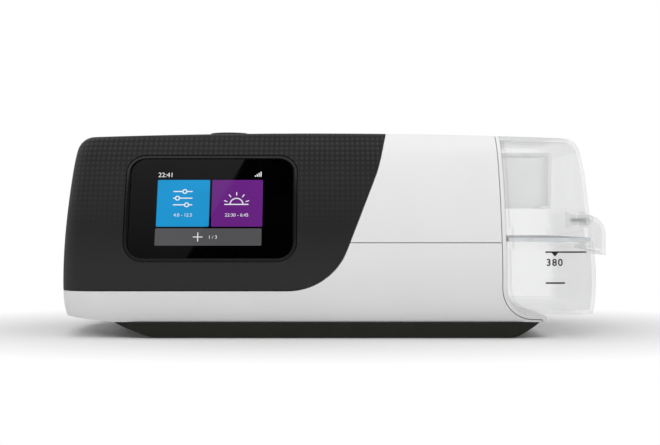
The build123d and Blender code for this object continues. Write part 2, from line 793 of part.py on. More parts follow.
def tub_seal():
    """Silicone ring between base and lid, set back from the outside."""
    return tub_wall(TUB_SPLIT, TUB_SPLIT + SEAL, SEAL_IN, RIM_THICK)


def knuckles(which):
    """Hinge knuckles on the tub's left end: the outer ones on the base, the middle ones on the lid."""
    axis_z = TUB_SPLIT + SEAL / 2
    barrel = Pos(HINGE_X, axis_z) * Circle(HINGE_R)
    web_low = axis_z - 3.5 if which == 0 else axis_z
    barrel += block_sketch(HINGE_X, TUB_LEFT + 0.5, web_low, web_low + 3.5)
    barrel -= Pos(HINGE_X, axis_z) * Circle(HINGE_PIN_R + RUN)
    parts = Part()
    for middle in HINGE_Y:
        places = (middle - KNUCKLE, middle + KNUCKLE) if which == 0 else (middle,)
        for y in places:
            parts += along_y(barrel, y - KNUCKLE / 2 + SEAM / 2, y + KNUCKLE / 2 - SEAM / 2)
    return parts


def block_sketch(a_from, a_to, b_from, b_to):
    """A rectangle between two pairs of edges."""
    return Pos((a_from + a_to) / 2, (b_from + b_to) / 2) * Rectangle(a_to - a_from, b_to - b_from)


def tub_hinge_pins():
    """One pin through the knuckles of each hinge."""
    pins = Part()
    for middle in HINGE_Y:
        circle = Pos(HINGE_X, TUB_SPLIT + SEAL / 2) * Circle(HINGE_PIN_R)
        pins += along_y(circle, middle - 1.5 * KNUCKLE, middle + 1.5 * KNUCKLE)
    return pins


def tub_inlet_duct():
    """Rectangular duct that carries the air over the water to the right end of the tub."""
    left = TUB_LEFT + TUB_WALL + SEAM
    outer = block_sketch(IN_DUCT_FRONT, IN_DUCT_BACK, IN_DUCT_LOW, IN_DUCT_HIGH)
    outer = fillet(outer.vertices(), 3.0)
    inner = offset(outer, -DUCT_WALL)
    body = along_x(outer, left, left + IN_DUCT_LENGTH)
    body -= along_x(inner, left + DUCT_WALL, left + IN_DUCT_LENGTH - DUCT_WALL)
    body -= along_x(port(PORT_IN_Y), 0, left + 5)
    mouth = rounded(left + IN_DUCT_LENGTH - 24, left + IN_DUCT_LENGTH - 4,
                    IN_DUCT_FRONT + 4, IN_DUCT_BACK - 4, 3.0)
    return body - along_z(mouth, 0, IN_DUCT_LOW + 5)


def tub_outlet_duct():
    """Shorter return duct behind it."""
    left = TUB_LEFT + TUB_WALL + SEAM
    low = PORT_Z - PORT_SIZE / 2 - 3
    high = PORT_Z + PORT_SIZE / 2 + 3
    outer = block_sketch(PORT_OUT_Y - PORT_SIZE / 2 - 3, PORT_OUT_Y + PORT_SIZE / 2 + 3, low, high)
    outer = fillet(outer.vertices(), 3.0)
    body = along_x(outer, left, left + OUT_DUCT_LENGTH)
    body -= along_x(offset(outer, -DUCT_WALL), left + DUCT_WALL, left + OUT_DUCT_LENGTH - DUCT_WALL)
    body -= along_x(port(PORT_OUT_Y), 0, left + 5)
    mouth = rounded(left + OUT_DUCT_LENGTH - 22, left + OUT_DUCT_LENGTH - 4,
                    PORT_OUT_Y - PORT_SIZE / 2, PORT_OUT_Y + PORT_SIZE / 2, 3.0)
    return body - along_z(mouth, 0, low + 5)


def tub_latch():
    """Clear clip that hangs from the lid, bows outwards and hooks under the base's catch."""
    px, pz = LATCH_PIVOT_X, LATCH_PIVOT_Z
    out = LATCH_OUT
    low = LATCH_LOW
    top = pz + LATCH_BARREL_R
    bow = out - px
    shell = Pos(px, top - bow) * Circle(bow)
    shell += block_sketch(px - bow, out, low, top - bow)
    shell -= Pos(px, top - bow) * Circle(bow - LATCH_THICK)
    shell -= block_sketch(px - bow, out - LATCH_THICK, low - 1, top - bow)
    shell &= block_sketch(px, out, low, top)
    hook_top = LATCH_HOOK_Z + 1.0
    hook = Polygon(
        (out - 1, LATCH_HOOK_Z - 2.4), (CATCH_OUT - 1.0, LATCH_HOOK_Z - 0.6), (CATCH_OUT - 1.0, hook_top),
        (CATCH_OUT + 0.6, hook_top), (CATCH_OUT + 1.0, LATCH_HOOK_Z - 0.2), (out - 1, LATCH_HOOK_Z - 0.8),
        align=None,
    )
    front = LATCH_Y - LATCH_WIDTH / 2 + SEAM
    back = LATCH_Y + LATCH_WIDTH / 2 - SEAM
    body = along_y(shell, front, back)
    for profile in (hook, Pos(px, pz) * Circle(LATCH_BARREL_R)):
        body += along_y(profile, front, back)
    return body - along_y(Pos(px, pz) * Circle(LATCH_PIN_R + RUN), front, back)


def latch_pin():
    """Pin in the ears that the latch turns on."""
    circle = Pos(LATCH_PIVOT_X, LATCH_PIVOT_Z) * Circle(LATCH_PIN_R)
    reach = LATCH_WIDTH / 2 + EAR
    return along_y(circle, LATCH_Y - reach, LATCH_Y + reach)


# ---------------------------------------------------------------- heater

HEATER_TOP = CASE_BOTTOM + TUB_IN - SEAM
CARRIER_LOW = BASE_LIFT + BASE_WALL
SPRING_LOW = CARRIER_LOW + CARRIER_FLOOR


def heater_carrier():
    """Open tray that guides the heater plate and stands on the base's floor."""
    body = along_z(rounded(*carrier_box(), HEAT_R), CARRIER_LOW, FLOOR)
    body -= along_z(rounded(*carrier_box(-CARRIER_WALL), HEAT_R), SPRING_LOW, REACH)
    spigot_r = HEATER_SPRING_R - 2 * HEATER_WIRE_R - SEAM
    for place in spring_places():
        body += along_z(Pos(place) * Circle(spigot_r), CARRIER_LOW, SPRING_LOW + 1)
    return body


def heater_plate():
    """Aluminium plate that springs press up towards the tub's floor."""
    body = along_z(heat_window(0), HEATER_TOP - HEATER_THICK, HEATER_TOP)
    return chamfer(body.faces().sort_by(Axis.Z)[-1].edges(), 0.4)


def spring_places():
    """Springs, in from the corners of the heater plate."""
    xs = (HEAT_LEFT + 10, HEAT_RIGHT - 10)
    ys = (HEAT_FRONT + 10, HEAT_BACK - 10)
    return [(x, y) for x in xs for y in ys]


def heater_springs():
    """Four coil springs under the heater plate."""
    low = SPRING_LOW + HEATER_WIRE_R + SEAM / 2
    high = HEATER_TOP - HEATER_THICK - HEATER_WIRE_R - SEAM / 2
    coil_r = HEATER_SPRING_R - HEATER_WIRE_R
    path = Edge.make_helix((high - low) / HEATER_SPRING_TURNS, high - low, coil_r)
    path = Pos(0, 0, low) * path
    wire = Plane(origin=path @ 0, z_dir=path % 0) * RegularPolygon(HEATER_WIRE_R, 6)
    coil = sweep(wire, path=path, is_frenet=True)
    springs = Part()
    for place in spring_places():
        springs += Pos(place) * coil
    return springs


# ---------------------------------------------------------------- start button

BUTTON_FOOT = BUTTON_TOP - BUTTON_CAP - BUTTON_FLANGE - BUTTON_STEM


def start_button():
    """Round cap in the fascia's hole, with a stop flange behind it and a stem on the dome."""
    place = Pos(BUTTON_X, BUTTON_Y)
    flange_low = BUTTON_TOP - BUTTON_CAP - BUTTON_FLANGE
    cap = along_z(place * Circle(BUTTON_R), flange_low, BUTTON_TOP)
    cap = fillet(cap.edges().sort_by(Axis.Z)[-1], 0.8)
    cap += along_z(place * Circle(BUTTON_FLANGE_R), flange_low, flange_low + BUTTON_FLANGE - SEAM)
    return cap + along_z(place * Circle(BUTTON_STEM_R), BUTTON_FOOT, flange_low)


def button_dome():
    """Silicone dome that returns the button."""
    top = BUTTON_FOOT - SEAM / 3
    low = top - DOME_HEIGHT
    place = Pos(BUTTON_X, BUTTON_Y, low)
    return place * Cone(DOME_R, BUTTON_STEM_R, DOME_HEIGHT, align=(Align.CENTER, Align.CENTER, Align.MIN))


def button_board():
    """Small board under the dome."""
    top = BUTTON_FOOT - SEAM / 3 - DOME_HEIGHT
    plate = Pos(BUTTON_X, BUTTON_Y) * RectangleRounded(BUTTON_BOARD, BUTTON_BOARD, 2.0)
    return along_z(plate, top - BOARD, top)


# ---------------------------------------------------------------- rear fittings

OUTLET_X = -BAY_WALL - SEAM - ELBOW_LEAD - ELBOW_R


def outlet_elbow():
    """Pipe from the bulkhead to the hose connector at the back."""
    start = -BAY_WALL - SEAM
    bend = start - ELBOW_LEAD
    with BuildLine() as path:
        lead = Line((start, PORT_OUT_Y, PORT_Z), (bend, PORT_OUT_Y, PORT_Z))
        turn = ThreePointArc(
            lead @ 1,
            (bend - ELBOW_R * sin(pi / 4), PORT_OUT_Y + ELBOW_R * (1 - cos(pi / 4)), PORT_Z),
            (bend - ELBOW_R, PORT_OUT_Y + ELBOW_R, PORT_Z),
        )
        Line(turn @ 1, (OUTLET_X, CONNECTOR_END, PORT_Z))
    mouth = Plane(origin=(start, PORT_OUT_Y, PORT_Z), z_dir=(-1, 0, 0))
    pipe = sweep(mouth * Circle(CONNECTOR_R), path=path.line)
    pipe -= sweep(mouth * Circle(CONNECTOR_BORE_R), path=path.line)
    tip = pipe.faces().sort_by(Axis.Y)[-1]
    pipe = chamfer(tip.edges(), 0.5)
    collar = Circle(CONNECTOR_R + STOP_COLLAR) - Circle(CONNECTOR_R - DUCT_WALL / 2)
    collar = Pos(OUTLET_X, PORT_Z) * collar
    pipe += along_y(collar, RECESS_Y + SEAM, RECESS_Y + SEAM + STOP_COLLAR)
    flange = port(PORT_OUT_Y, -3.0) - Pos(PORT_OUT_Y, PORT_Z) * Circle(CONNECTOR_BORE_R)
    return pipe + along_x(flange, start, start - 1.6)


def outlet_seal():
    """Silicone collar round the elbow, behind the recess."""
    ring_face = Circle(CONNECTOR_R + SEAL_RING + SEAM) - Circle(CONNECTOR_R + SEAM / 2)
    ring_face = Pos(OUTLET_X, PORT_Z) * ring_face
    back = RECESS_Y - RECESS_WALL - SEAM
    return along_y(ring_face, back - SEAL_RING, back)


def power_outline(grow=0.0):
    """Outside of the power socket, grown on every side."""
    width = POWER_WIDTH + 2 * (POWER_WALL + grow)
    height = POWER_HEIGHT + 2 * (POWER_WALL + grow)
    return Pos(POWER_X, POWER_Z) * RectangleRounded(width, height, 2.0)


POWER_MOUTH = CASE_BACK - 0.8


def power_inlet():
    """Socket for the supply's plug, with a flange behind the rear wall."""
    low = POWER_MOUTH - POWER_DEPTH - POWER_WALL
    body = along_y(power_outline(), low, POWER_MOUTH)
    cavity = Pos(POWER_X, POWER_Z) * RectangleRounded(POWER_WIDTH, POWER_HEIGHT, 1.5)
    body -= along_y(cavity, POWER_MOUTH - POWER_DEPTH, REACH)
    flange = along_y(power_outline(2.0) - cavity, CASE_BACK - WALL - 3.0, CASE_BACK) & loaf(BAY_OUT)
    return body + flange


def power_pins():
    """Three pins in the socket."""
    pins = Part()
    foot = POWER_MOUTH - POWER_DEPTH
    for step in (-1, 0, 1):
        circle = Pos(POWER_X + step * POWER_PIN_PITCH, POWER_Z) * Circle(POWER_PIN_R)
        pins += along_y(circle, foot, foot + POWER_PIN)
    return pins


COVER_AXIS_Z = FILTER_Z - FILTER_HEIGHT / 2 + DOOR_R
COVER_AXIS_Y = CASE_BACK - WALL / 2
FILTER_BACK = CASE_BACK - FILTER_FRONT - FILTER_PAD - FILTER_RIB - SEAM
CARD_AXIS_Z = CARD_Z - CARD_DOOR_HEIGHT / 2 + DOOR_R
CARD_AXIS_X = CASE_LEFT + WALL / 2 + DOOR_SKIN_GAP


def cover_axis(radius):
    """Circle about the filter door's axis."""
    return Pos(COVER_AXIS_Y, COVER_AXIS_Z) * Circle(radius)


def card_axis(radius):
    """Circle about the card door's axis."""
    return Pos(CARD_AXIS_X, CARD_AXIS_Z) * Circle(radius)


def filter_tray_area(grow):
    """Outline of the filter pad's place, grown on every side."""
    width = FILTER_WIDTH - 2 * SEAM + 2 * grow
    height = FILTER_HEIGHT - 2 * SEAM + 2 * grow
    return Pos(FILTER_X, FILTER_Z) * RectangleRounded(width, height, 3.0)


def filter_frame():
    """Frame with crossed bars that holds the pad."""
    body = along_y(filter_tray_area(FILTER_FRAME), FILTER_BACK, CASE_BACK - FILTER_FRONT)
    body -= along_y(filter_tray_area(0), FILTER_BACK, CASE_BACK)
    pitch = FILTER_WIDTH / (FILTER_BARS + 1)
    for bar in range(FILTER_BARS):
        shift = (bar + 1) * pitch - FILTER_WIDTH / 2
        upright = Pos(FILTER_X + shift, FILTER_Z) * Rectangle(FILTER_RIB, FILTER_HEIGHT)
        level = Pos(FILTER_X, FILTER_Z + shift) * Rectangle(FILTER_WIDTH, FILTER_RIB)
        body += along_y(upright, FILTER_BACK, FILTER_BACK + FILTER_RIB)
        body += along_y(level, FILTER_BACK, FILTER_BACK + FILTER_RIB)
    return body


def air_filter():
    """Filter pad, in its frame."""
    back = FILTER_BACK + FILTER_RIB + SEAM / 2
    return along_y(filter_tray_area(-SEAM), back, back + FILTER_PAD)


def filter_hinge_pin():
    """Pin that the filter door turns on."""
    half = FILTER_WIDTH / 2 + DOOR_PIN_END
    return along_x(cover_axis(DOOR_PIN_R), FILTER_X - half, FILTER_X + half)


def filter_cover():
    """Louvred door in the rear wall, turning about its lower edge."""
    body = (loaf() & along_y(filter_door_area(), 0, REACH)) - loaf(WALL)
    body -= block(-REACH, REACH, -REACH, REACH, 0, COVER_AXIS_Z)
    half = FILTER_WIDTH / 2
    body += along_x(cover_axis(DOOR_R), FILTER_X - half, FILTER_X + half)
    body -= along_x(cover_axis(DOOR_PIN_R + RUN), -REACH, REACH)
    first = FILTER_Z - LOUVRE_PITCH * (LOUVRES - 1) / 2
    for row in range(LOUVRES):
        slot = Pos(FILTER_X, first + row * LOUVRE_PITCH) * SlotOverall(LOUVRE_WIDTH, LOUVRE_HEIGHT)
        body -= along_y(slot, 0, REACH)
    return body


# ---------------------------------------------------------------- memory card

def card_door():
    """Small door in the left end, turning about its lower edge."""
    body = (loaf() & along_x(card_door_area(), -REACH, CASE_LEFT + 20)) - loaf(WALL)
    body -= block(-REACH, REACH, -REACH, REACH, 0, CARD_AXIS_Z + DOOR_SKIN_GAP)
    half = CARD_DOOR_WIDTH / 2
    body += along_y(card_axis(DOOR_R), CARD_Y - half, CARD_Y + half) & loaf()
    return body - along_y(card_axis(DOOR_PIN_R + RUN), -REACH, REACH)


def card_door_pin():
    """Pin that the card door turns on."""
    half = CARD_DOOR_WIDTH / 2 + DOOR_PIN_END
    return along_y(card_axis(DOOR_PIN_R), CARD_Y - half, CARD_Y + half)


def memory_card():
    """Card with one cut corner."""
    left = CASE_LEFT + CARD_IN
    right = left + CARD_LENGTH
    front = CARD_Y - CARD_WIDTH / 2
    back = CARD_Y + CARD_WIDTH / 2
    card = Polygon(
        (left, front), (right - CARD_NICK, front), (right, front + CARD_NICK),
        (right, back), (left, back),
        align=None,
    )
    return along_z(card, CARD_Z - CARD_THICK / 2, CARD_Z + CARD_THICK / 2)


def card_slot():
    """Socket round the card, on a leg that stands on the housing's floor."""
    left = CASE_LEFT + CARD_IN + 3.0
    right = CASE_LEFT + CARD_IN + CARD_LENGTH + SEAM
    half_y = CARD_WIDTH / 2 + SEAM
    half_z = CARD_THICK / 2 + SEAM
    low = CARD_Z - half_z - SLOT_WALL
    body = block(left, right + SLOT_WALL, CARD_Y - half_y - SLOT_WALL, CARD_Y + half_y + SLOT_WALL,
                 low, CARD_Z + half_z + SLOT_WALL)
    body -= block(left - 1, right, CARD_Y - half_y, CARD_Y + half_y, CARD_Z - half_z, CARD_Z + half_z)
    leg = block(left, left + SLOT_LEG, CARD_Y - half_y, CARD_Y + half_y, 0, low)
    leg -= block(left + RIB, left + SLOT_LEG - RIB, CARD_Y - half_y + RIB, CARD_Y + half_y - RIB, 0, low)
    return body + (leg & loaf(BAY_OUT))


# ---------------------------------------------------------------- electronics

def main_board():
    """Board on its posts, with holes for the screws."""
    plate = rounded(BOARD_LEFT, BOARD_RIGHT, BOARD_FRONT, BOARD_BACK, 2.0)
    for place in board_posts():
        plate -= Pos(place) * Circle(PCB_SCREW_R + RUN)
    return along_z(plate, BOARD_Z, BOARD_Z + BOARD)


def board_components():
    """Connectors, chips and capacitors standing on the main board."""
    top = BOARD_Z + BOARD
    pieces = Part()
    for x, y, length, width, height in (
        (-60.0, 0.0, 14.0, 14.0, 1.6),
        (-34.0, -4.0, 10.0, 10.0, 1.4),
        (-84.0, -8.0, 22.0, 16.0, 2.6),
        (-22.0, 22.0, 16.0, 6.0, 7.0),
        (-60.0, 27.0, 12.0, 5.0, 6.0),
        (-50.0, -20.0, 20.0, 5.0, 4.0),
    ):
        pieces += Pos(x, y, top) * Box(length, width, height, align=(Align.CENTER, Align.CENTER, Align.MIN))
    for x, y, radius, height in (
        (-24.0, 6.0, 4.0, 10.0),
        (-24.0, -8.0, 4.0, 10.0),
        (-94.0, 18.0, 5.0, 8.0),
    ):
        pieces += along_z(Pos(x, y) * Circle(radius), top, top + height)
    return pieces


def board_screws():
    """Screws that hold the main board on its posts."""
    screws = Part()
    top = BOARD_Z + BOARD
    for place in board_posts():
        screws += along_z(Pos(place) * Circle(PCB_SCREW_HEAD_R), top, top + PCB_SCREW_HEAD)
        screws += along_z(Pos(place) * Circle(PCB_SCREW_R), top - PCB_SCREW_LENGTH, top)
    return screws


# ---------------------------------------------------------------- blower

BLOWER_Y = PORT_IN_Y + SCROLL_MAX - OUTLET_WIDTH / 2
VOLUTE_LOW = PORT_Z - VOLUTE_HEIGHT / 2
OUTLET_END = -BAY_WALL - SEAM - BOOT_GAP
BLOWER = Pos(BLOWER_X, BLOWER_Y)


def scroll(grow):
    """Plan of the volute: a spiral that widens round the impeller and runs out to the right."""
    inner_edge = SCROLL_MAX - OUTLET_WIDTH - grow
    start = -asin(inner_edge / (SCROLL_MIN + grow))
    turn = 1.5 * pi - start
    points = []
    steps = 10
    for step in range(steps + 1):
        share = step / steps
        radius = SCROLL_MIN + grow + (SCROLL_MAX - SCROLL_MIN) * share
        angle = start + turn * share
        points.append((radius * cos(angle), radius * sin(angle)))
    end = OUTLET_END - BLOWER_X
    with BuildSketch() as plan:
        with BuildLine():
            Spline(*points, tangents=[(sin(-start), cos(start)), (1, 0)])
            Polyline(points[-1], (end, points[-1][1]), (end, -inner_edge), points[0])
        make_face()
    return BLOWER * plan.sketch


def lower_volute():
    """Lower half of the spiral housing, with the shaft hole."""
    body = along_z(scroll(VOLUTE_WALL), VOLUTE_LOW, PORT_Z)
    flange = along_z(scroll(VOLUTE_WALL + VOLUTE_FLANGE), PORT_Z - VOLUTE_FLANGE, PORT_Z)
    body += flange - along_z(scroll(1.0), 0, PORT_Z)
    body -= along_z(scroll(0), VOLUTE_LOW + VOLUTE_WALL, REACH)
    for place in mount_places():
        arm = trace(Line((BLOWER_X, BLOWER_Y), place), 2 * MOUNT_R) + Pos(place) * Circle(MOUNT_R)
        body += along_z(arm, VOLUTE_LOW, VOLUTE_LOW + VOLUTE_WALL)
    body -= along_z(BLOWER * Circle(2 * SHAFT_R), 0, REACH)
    return body - block(OUTLET_END, 0, -REACH, REACH, 0, REACH)


def upper_volute():
    """Upper half, with the flared inlet eye."""
    top = VOLUTE_LOW + VOLUTE_HEIGHT
    body = along_z(scroll(VOLUTE_WALL), PORT_Z, top)
    body += along_z(scroll(VOLUTE_WALL + VOLUTE_FLANGE), PORT_Z, PORT_Z + VOLUTE_FLANGE)
    body -= along_z(scroll(0), 0, top - VOLUTE_WALL)
    body += along_z(BLOWER * Circle(EYE_R + VOLUTE_WALL), top - VOLUTE_WALL, top + EYE_LIP)
    body -= along_z(BLOWER * Circle(EYE_R), 0, REACH)
    mouth = body.edges().filter_by(GeomType.CIRCLE).filter_by(lambda edge: abs(edge.radius - EYE_R) < 0.01)
    body = fillet(mouth.sort_by(Axis.Z)[-1], VOLUTE_WALL - 0.3)
    return body - block(OUTLET_END, 0, -REACH, REACH, 0, REACH)


def impeller():
    """Back plate, hub, backward-curved blades and shroud."""
    low = VOLUTE_LOW + VOLUTE_WALL + IMPELLER_FLOOR
    high = low + IMPELLER_HEIGHT
    plate = along_z(Circle(IMPELLER_R), low, low + BLADE_THICK)
    hub = along_z(Circle(HUB_R), low, high - 2.0)
    blade_line = ThreePointArc((HUB_R - 0.5, 0), (IMPELLER_R * 0.62, 5.2), (IMPELLER_R - 1.5, 13.0))
    blade = along_z(trace(blade_line, BLADE_THICK), low, high)
    body = plate + hub
    for turn in range(IMPELLER_BLADES):
        body += Rot(0, 0, turn * 360 / IMPELLER_BLADES) * blade
    body &= along_z(Circle(IMPELLER_R), low, high)
    shroud = along_z(Circle(IMPELLER_R) - Circle(EYE_R), high - BLADE_THICK, high)
    body += shroud
    body -= along_z(Circle(SHAFT_R), 0, REACH)
    return BLOWER * body


def motor_shaft():
    """Shaft from the motor up into the impeller's hub."""
    low = VOLUTE_LOW - MOTOR_HEIGHT + 1.0
    high = VOLUTE_LOW + VOLUTE_WALL + IMPELLER_FLOOR + IMPELLER_HEIGHT - 2.0
    return along_z(BLOWER * Circle(SHAFT_R), low, high)


def blower_motor():
    """Motor can under the volute, with a flange and a connector."""
    low = VOLUTE_LOW - MOTOR_HEIGHT
    body = along_z(BLOWER * Circle(MOTOR_R), low, VOLUTE_LOW)
    body = fillet(body.edges().sort_by(Axis.Z)[0], 2.0)
    body += along_z(BLOWER * Circle(MOTOR_FLANGE_R), VOLUTE_LOW - 2.0, VOLUTE_LOW)
    body += along_z(BLOWER * Pos(MOTOR_R, 0) * Rectangle(8, 10), low + 4, low + 10)
    return body - along_z(BLOWER * Circle(SHAFT_R + RUN), low + 0.8, REACH)


def mount_places():
    """Blower mounts, at the corners of a square about the motor."""
    out = MOUNT_OFFSET
    return [(BLOWER_X + x, BLOWER_Y + y) for x in (-out, out) for y in (-out, out)]


def blower_mounts():
    """Four silicone bushings between the cradle's posts and the volute."""
    mounts = Part()
    low = VOLUTE_LOW - MOUNT_HEIGHT
    for place in mount_places():
        bush = along_z(Pos(place) * Circle(MOUNT_R), low, VOLUTE_LOW)
        hollow = Pos(place) * Circle(MOUNT_R - 1) - Pos(place) * Circle(MOUNT_R - 2)
        bush -= along_z(hollow, low + 2, VOLUTE_LOW - 2)
        mounts += bush - along_z(Pos(place) * Circle(MOUNT_PIN_R + RUN), low, low + MOUNT_PIN + SEAM)
    return mounts


def blower_cradle():
    """Plate on four legs that carries the blower on posts, open under the motor."""
    legs = cradle_legs()
    left = legs[0][0] - CRADLE_POST_R
    right = legs[-1][0] + CRADLE_POST_R
    front = legs[0][1] - CRADLE_POST_R
    back = legs[1][1] + CRADLE_POST_R
    body = along_z(rounded(left, right, front, back, CRADLE_POST_R), CRADLE_Z, CRADLE_Z + CRADLE)
    body -= along_z(BLOWER * Circle(MOTOR_R + CRADLE_POST_R), 0, REACH)
    for place in legs:
        body += along_z(Pos(place) * Circle(POST_R), 0, CRADLE_Z) & loaf(WALL)
    low = VOLUTE_LOW - MOUNT_HEIGHT
    for place in mount_places():
        body += along_z(Pos(place) * Circle(CRADLE_POST_R), CRADLE_Z, low)
        body += along_z(Pos(place) * Circle(MOUNT_PIN_R), low, low + MOUNT_PIN)
    return body


def blower_boot():
    """Silicone sleeve from the volute's outlet to the bulkhead."""
    half_y = OUTLET_WIDTH / 2 + VOLUTE_WALL + VOLUTE_FLANGE + SEAM
    half_z = VOLUTE_HEIGHT / 2 + SEAM
    inner = block_sketch(PORT_IN_Y - half_y, PORT_IN_Y + half_y, PORT_Z - half_z, PORT_Z + half_z)
    outer = offset(inner, BOOT)
    return along_x(outer - inner, OUTLET_END - BOOT_LAP, -BAY_WALL - SEAM / 2)


def inlet_muffler():
    """Foam round the inlet eye, on top of the blower."""
    low = VOLUTE_LOW + VOLUTE_HEIGHT + SEAM
    half = MUFFLER_HALF
    pad = rounded(BLOWER_X - half, BLOWER_X + half / 3, BLOWER_Y - half, BLOWER_Y + half, 6.0)
    pad += BLOWER * Circle(EYE_R + 3 * VOLUTE_WALL)
    pad -= BLOWER * Circle(EYE_R + VOLUTE_WALL + SEAM)
    return along_z(pad, low, low + MUFFLER_THICK)


def build():
    """Make every piece, by the name of its node."""
    return {
        "lower_housing": lower_housing(),
        "front_fascia": front_fascia(),
        "upper_cover": upper_cover(),
        "rear_cover": rear_cover(),
        "base_skid": base_skid(),
        "rubber_feet": rubber_feet(),
        "base_screws": base_screws(),
        "screen_surround": screen_surround(),
        "screen_glass": screen_glass(),
        "lcd_module": lcd_module(),
        "display_board": display_board(),
        "tub_bay": tub_bay(),
        "port_seals": port_seals(),
        "tub_base": tub_base(),
        "tub_heat_plate": tub_heat_plate(),
        "tub_lid": tub_lid(),
        "tub_seal": tub_seal(),
        "tub_hinge_pins": tub_hinge_pins(),
        "tub_inlet_duct": tub_inlet_duct(),
        "tub_outlet_duct": tub_outlet_duct(),
        "tub_latch": tub_latch(),
        "latch_pin": latch_pin(),
        "heater_carrier": heater_carrier(),
        "heater_plate": heater_plate(),
        "heater_springs": heater_springs(),
        "start_button": start_button(),
        "button_dome": button_dome(),
        "button_board": button_board(),
        "outlet_elbow": outlet_elbow(),
        "outlet_seal": outlet_seal(),
        "power_inlet": power_inlet(),
        "power_pins": power_pins(),
        "filter_cover": filter_cover(),
        "filter_frame": filter_frame(),
        "air_filter": air_filter(),
        "filter_hinge_pin": filter_hinge_pin(),
        "card_door": card_door(),
        "card_door_pin": card_door_pin(),
        "memory_card": memory_card(),
        "card_slot": card_slot(),
        "main_board": main_board(),
        "board_components": board_components(),
        "board_screws": board_screws(),
        "lower_volute": lower_volute(),
        "upper_volute": upper_volute(),
        "impeller": impeller(),
        "motor_shaft": motor_shaft(),
        "blower_motor": blower_motor(),
        "blower_mounts": blower_mounts(),
        "blower_cradle": blower_cradle(),
        "blower_boot": blower_boot(),
        "inlet_muffler": inlet_muffler(),
    }


# The source's X starts at the bulkhead; the files have the middle of the length at 0
TO_MIDDLE = -(CASE_LEFT + LATCH_OUT) / 2

os.makedirs("parts", exist_ok=True)
for name, shape in build().items():
    export_step(Pos(TO_MIDDLE, 0, 0) * shape, f"parts/{name}.step")
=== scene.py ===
"""A bedside CPAP machine with a touch screen and a clear water tub, in a pale studio.

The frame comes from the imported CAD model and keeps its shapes. This script gives each node its
plastic, metal or glass, and adds what is printed, lit or moulded too finely for the solids.
Blender works in metres, in the part's own frame: X to the right, Y to the back and Z up. The
pieces laid on the machine are drawn in millimetres and turned into metres as they are placed.
"""
import json
import math

import bmesh
import bpy
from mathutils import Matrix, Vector
from mathutils.bvhtree import BVHTree


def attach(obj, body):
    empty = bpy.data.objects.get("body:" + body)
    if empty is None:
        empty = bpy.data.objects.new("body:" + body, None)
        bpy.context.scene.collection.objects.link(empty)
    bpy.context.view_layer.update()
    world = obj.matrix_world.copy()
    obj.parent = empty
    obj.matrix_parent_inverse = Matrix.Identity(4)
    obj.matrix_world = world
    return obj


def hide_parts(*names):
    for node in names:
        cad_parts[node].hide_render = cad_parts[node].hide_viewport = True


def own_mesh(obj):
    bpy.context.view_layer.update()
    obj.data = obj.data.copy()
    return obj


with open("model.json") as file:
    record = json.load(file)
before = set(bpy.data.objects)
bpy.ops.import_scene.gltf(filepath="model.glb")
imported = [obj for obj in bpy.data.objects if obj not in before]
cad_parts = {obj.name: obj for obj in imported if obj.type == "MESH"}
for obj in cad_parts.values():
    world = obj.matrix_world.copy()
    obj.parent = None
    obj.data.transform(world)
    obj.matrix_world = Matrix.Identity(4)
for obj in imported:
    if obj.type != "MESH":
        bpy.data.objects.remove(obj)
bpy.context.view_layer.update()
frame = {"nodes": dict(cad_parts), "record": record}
nodes = frame["nodes"]

MM = 0.001


def in_scene(name, data):
    """Makes an object of this data and puts it in the scene."""
    made = bpy.data.objects.new(name, data)
    bpy.context.scene.collection.objects.link(made)
    return made


# ---------------------------------------------------------------- camera

CAMERA_X = -3.35 * MM
CAMERA_Y = -669.25 * MM
CAMERA_Z = 51.4 * MM
CAMERA_LENS = 74.5
CAMERA_SENSOR = 36.0

camera_data = bpy.data.cameras.new("camera")
camera_data.lens = CAMERA_LENS
camera_data.sensor_width = CAMERA_SENSOR
camera_data.clip_start = 0.01
camera_data.clip_end = 50.0
camera = in_scene("camera", camera_data)
camera.location = (CAMERA_X, CAMERA_Y, CAMERA_Z)
camera.rotation_euler = (math.pi / 2, 0.0, 0.0)
bpy.context.scene.camera = camera
bpy.context.scene.view_settings.view_transform = "Standard"


# ---------------------------------------------------------------- node trees

NOISE_LOW = 0.35            # most of a noise lies between these two values
NOISE_HIGH = 0.65
MIX_COLOURS_IN = (0, 6, 7)  # sockets of a Mix node that blends colours
MIX_COLOURS_OUT = 2


class Tree:
    """The nodes of a material or a world, with short calls for the ones used here."""

    def __init__(self, owner, output):
        owner.use_nodes = True
        self.tree = owner.node_tree
        self.tree.nodes.clear()
        self.surface = self.node(output).inputs["Surface"]

    def give(self, value, socket):
        """Feeds a socket with another node's output, a colour or a number."""
        if isinstance(value, bpy.types.NodeSocket):
            self.tree.links.new(value, socket)
        elif socket.type == "RGBA":
            socket.default_value = (*value, 1.0)
        else:
            socket.default_value = value

    def node(self, kind, **values):
        """A new node of this kind, with its inputs given by name."""
        made = self.tree.nodes.new("ShaderNode" + kind)
        for name, value in values.items():
            self.give(value, made.inputs[name.replace("_", " ")])
        return made

    def maths(self, kind, first, second=0.0):
        """The result of one sum, each side a number or a node's output."""
        made = self.node("Math")
        made.operation = kind
        self.give(first, made.inputs[0])
        self.give(second, made.inputs[1])
        return made.outputs[0]


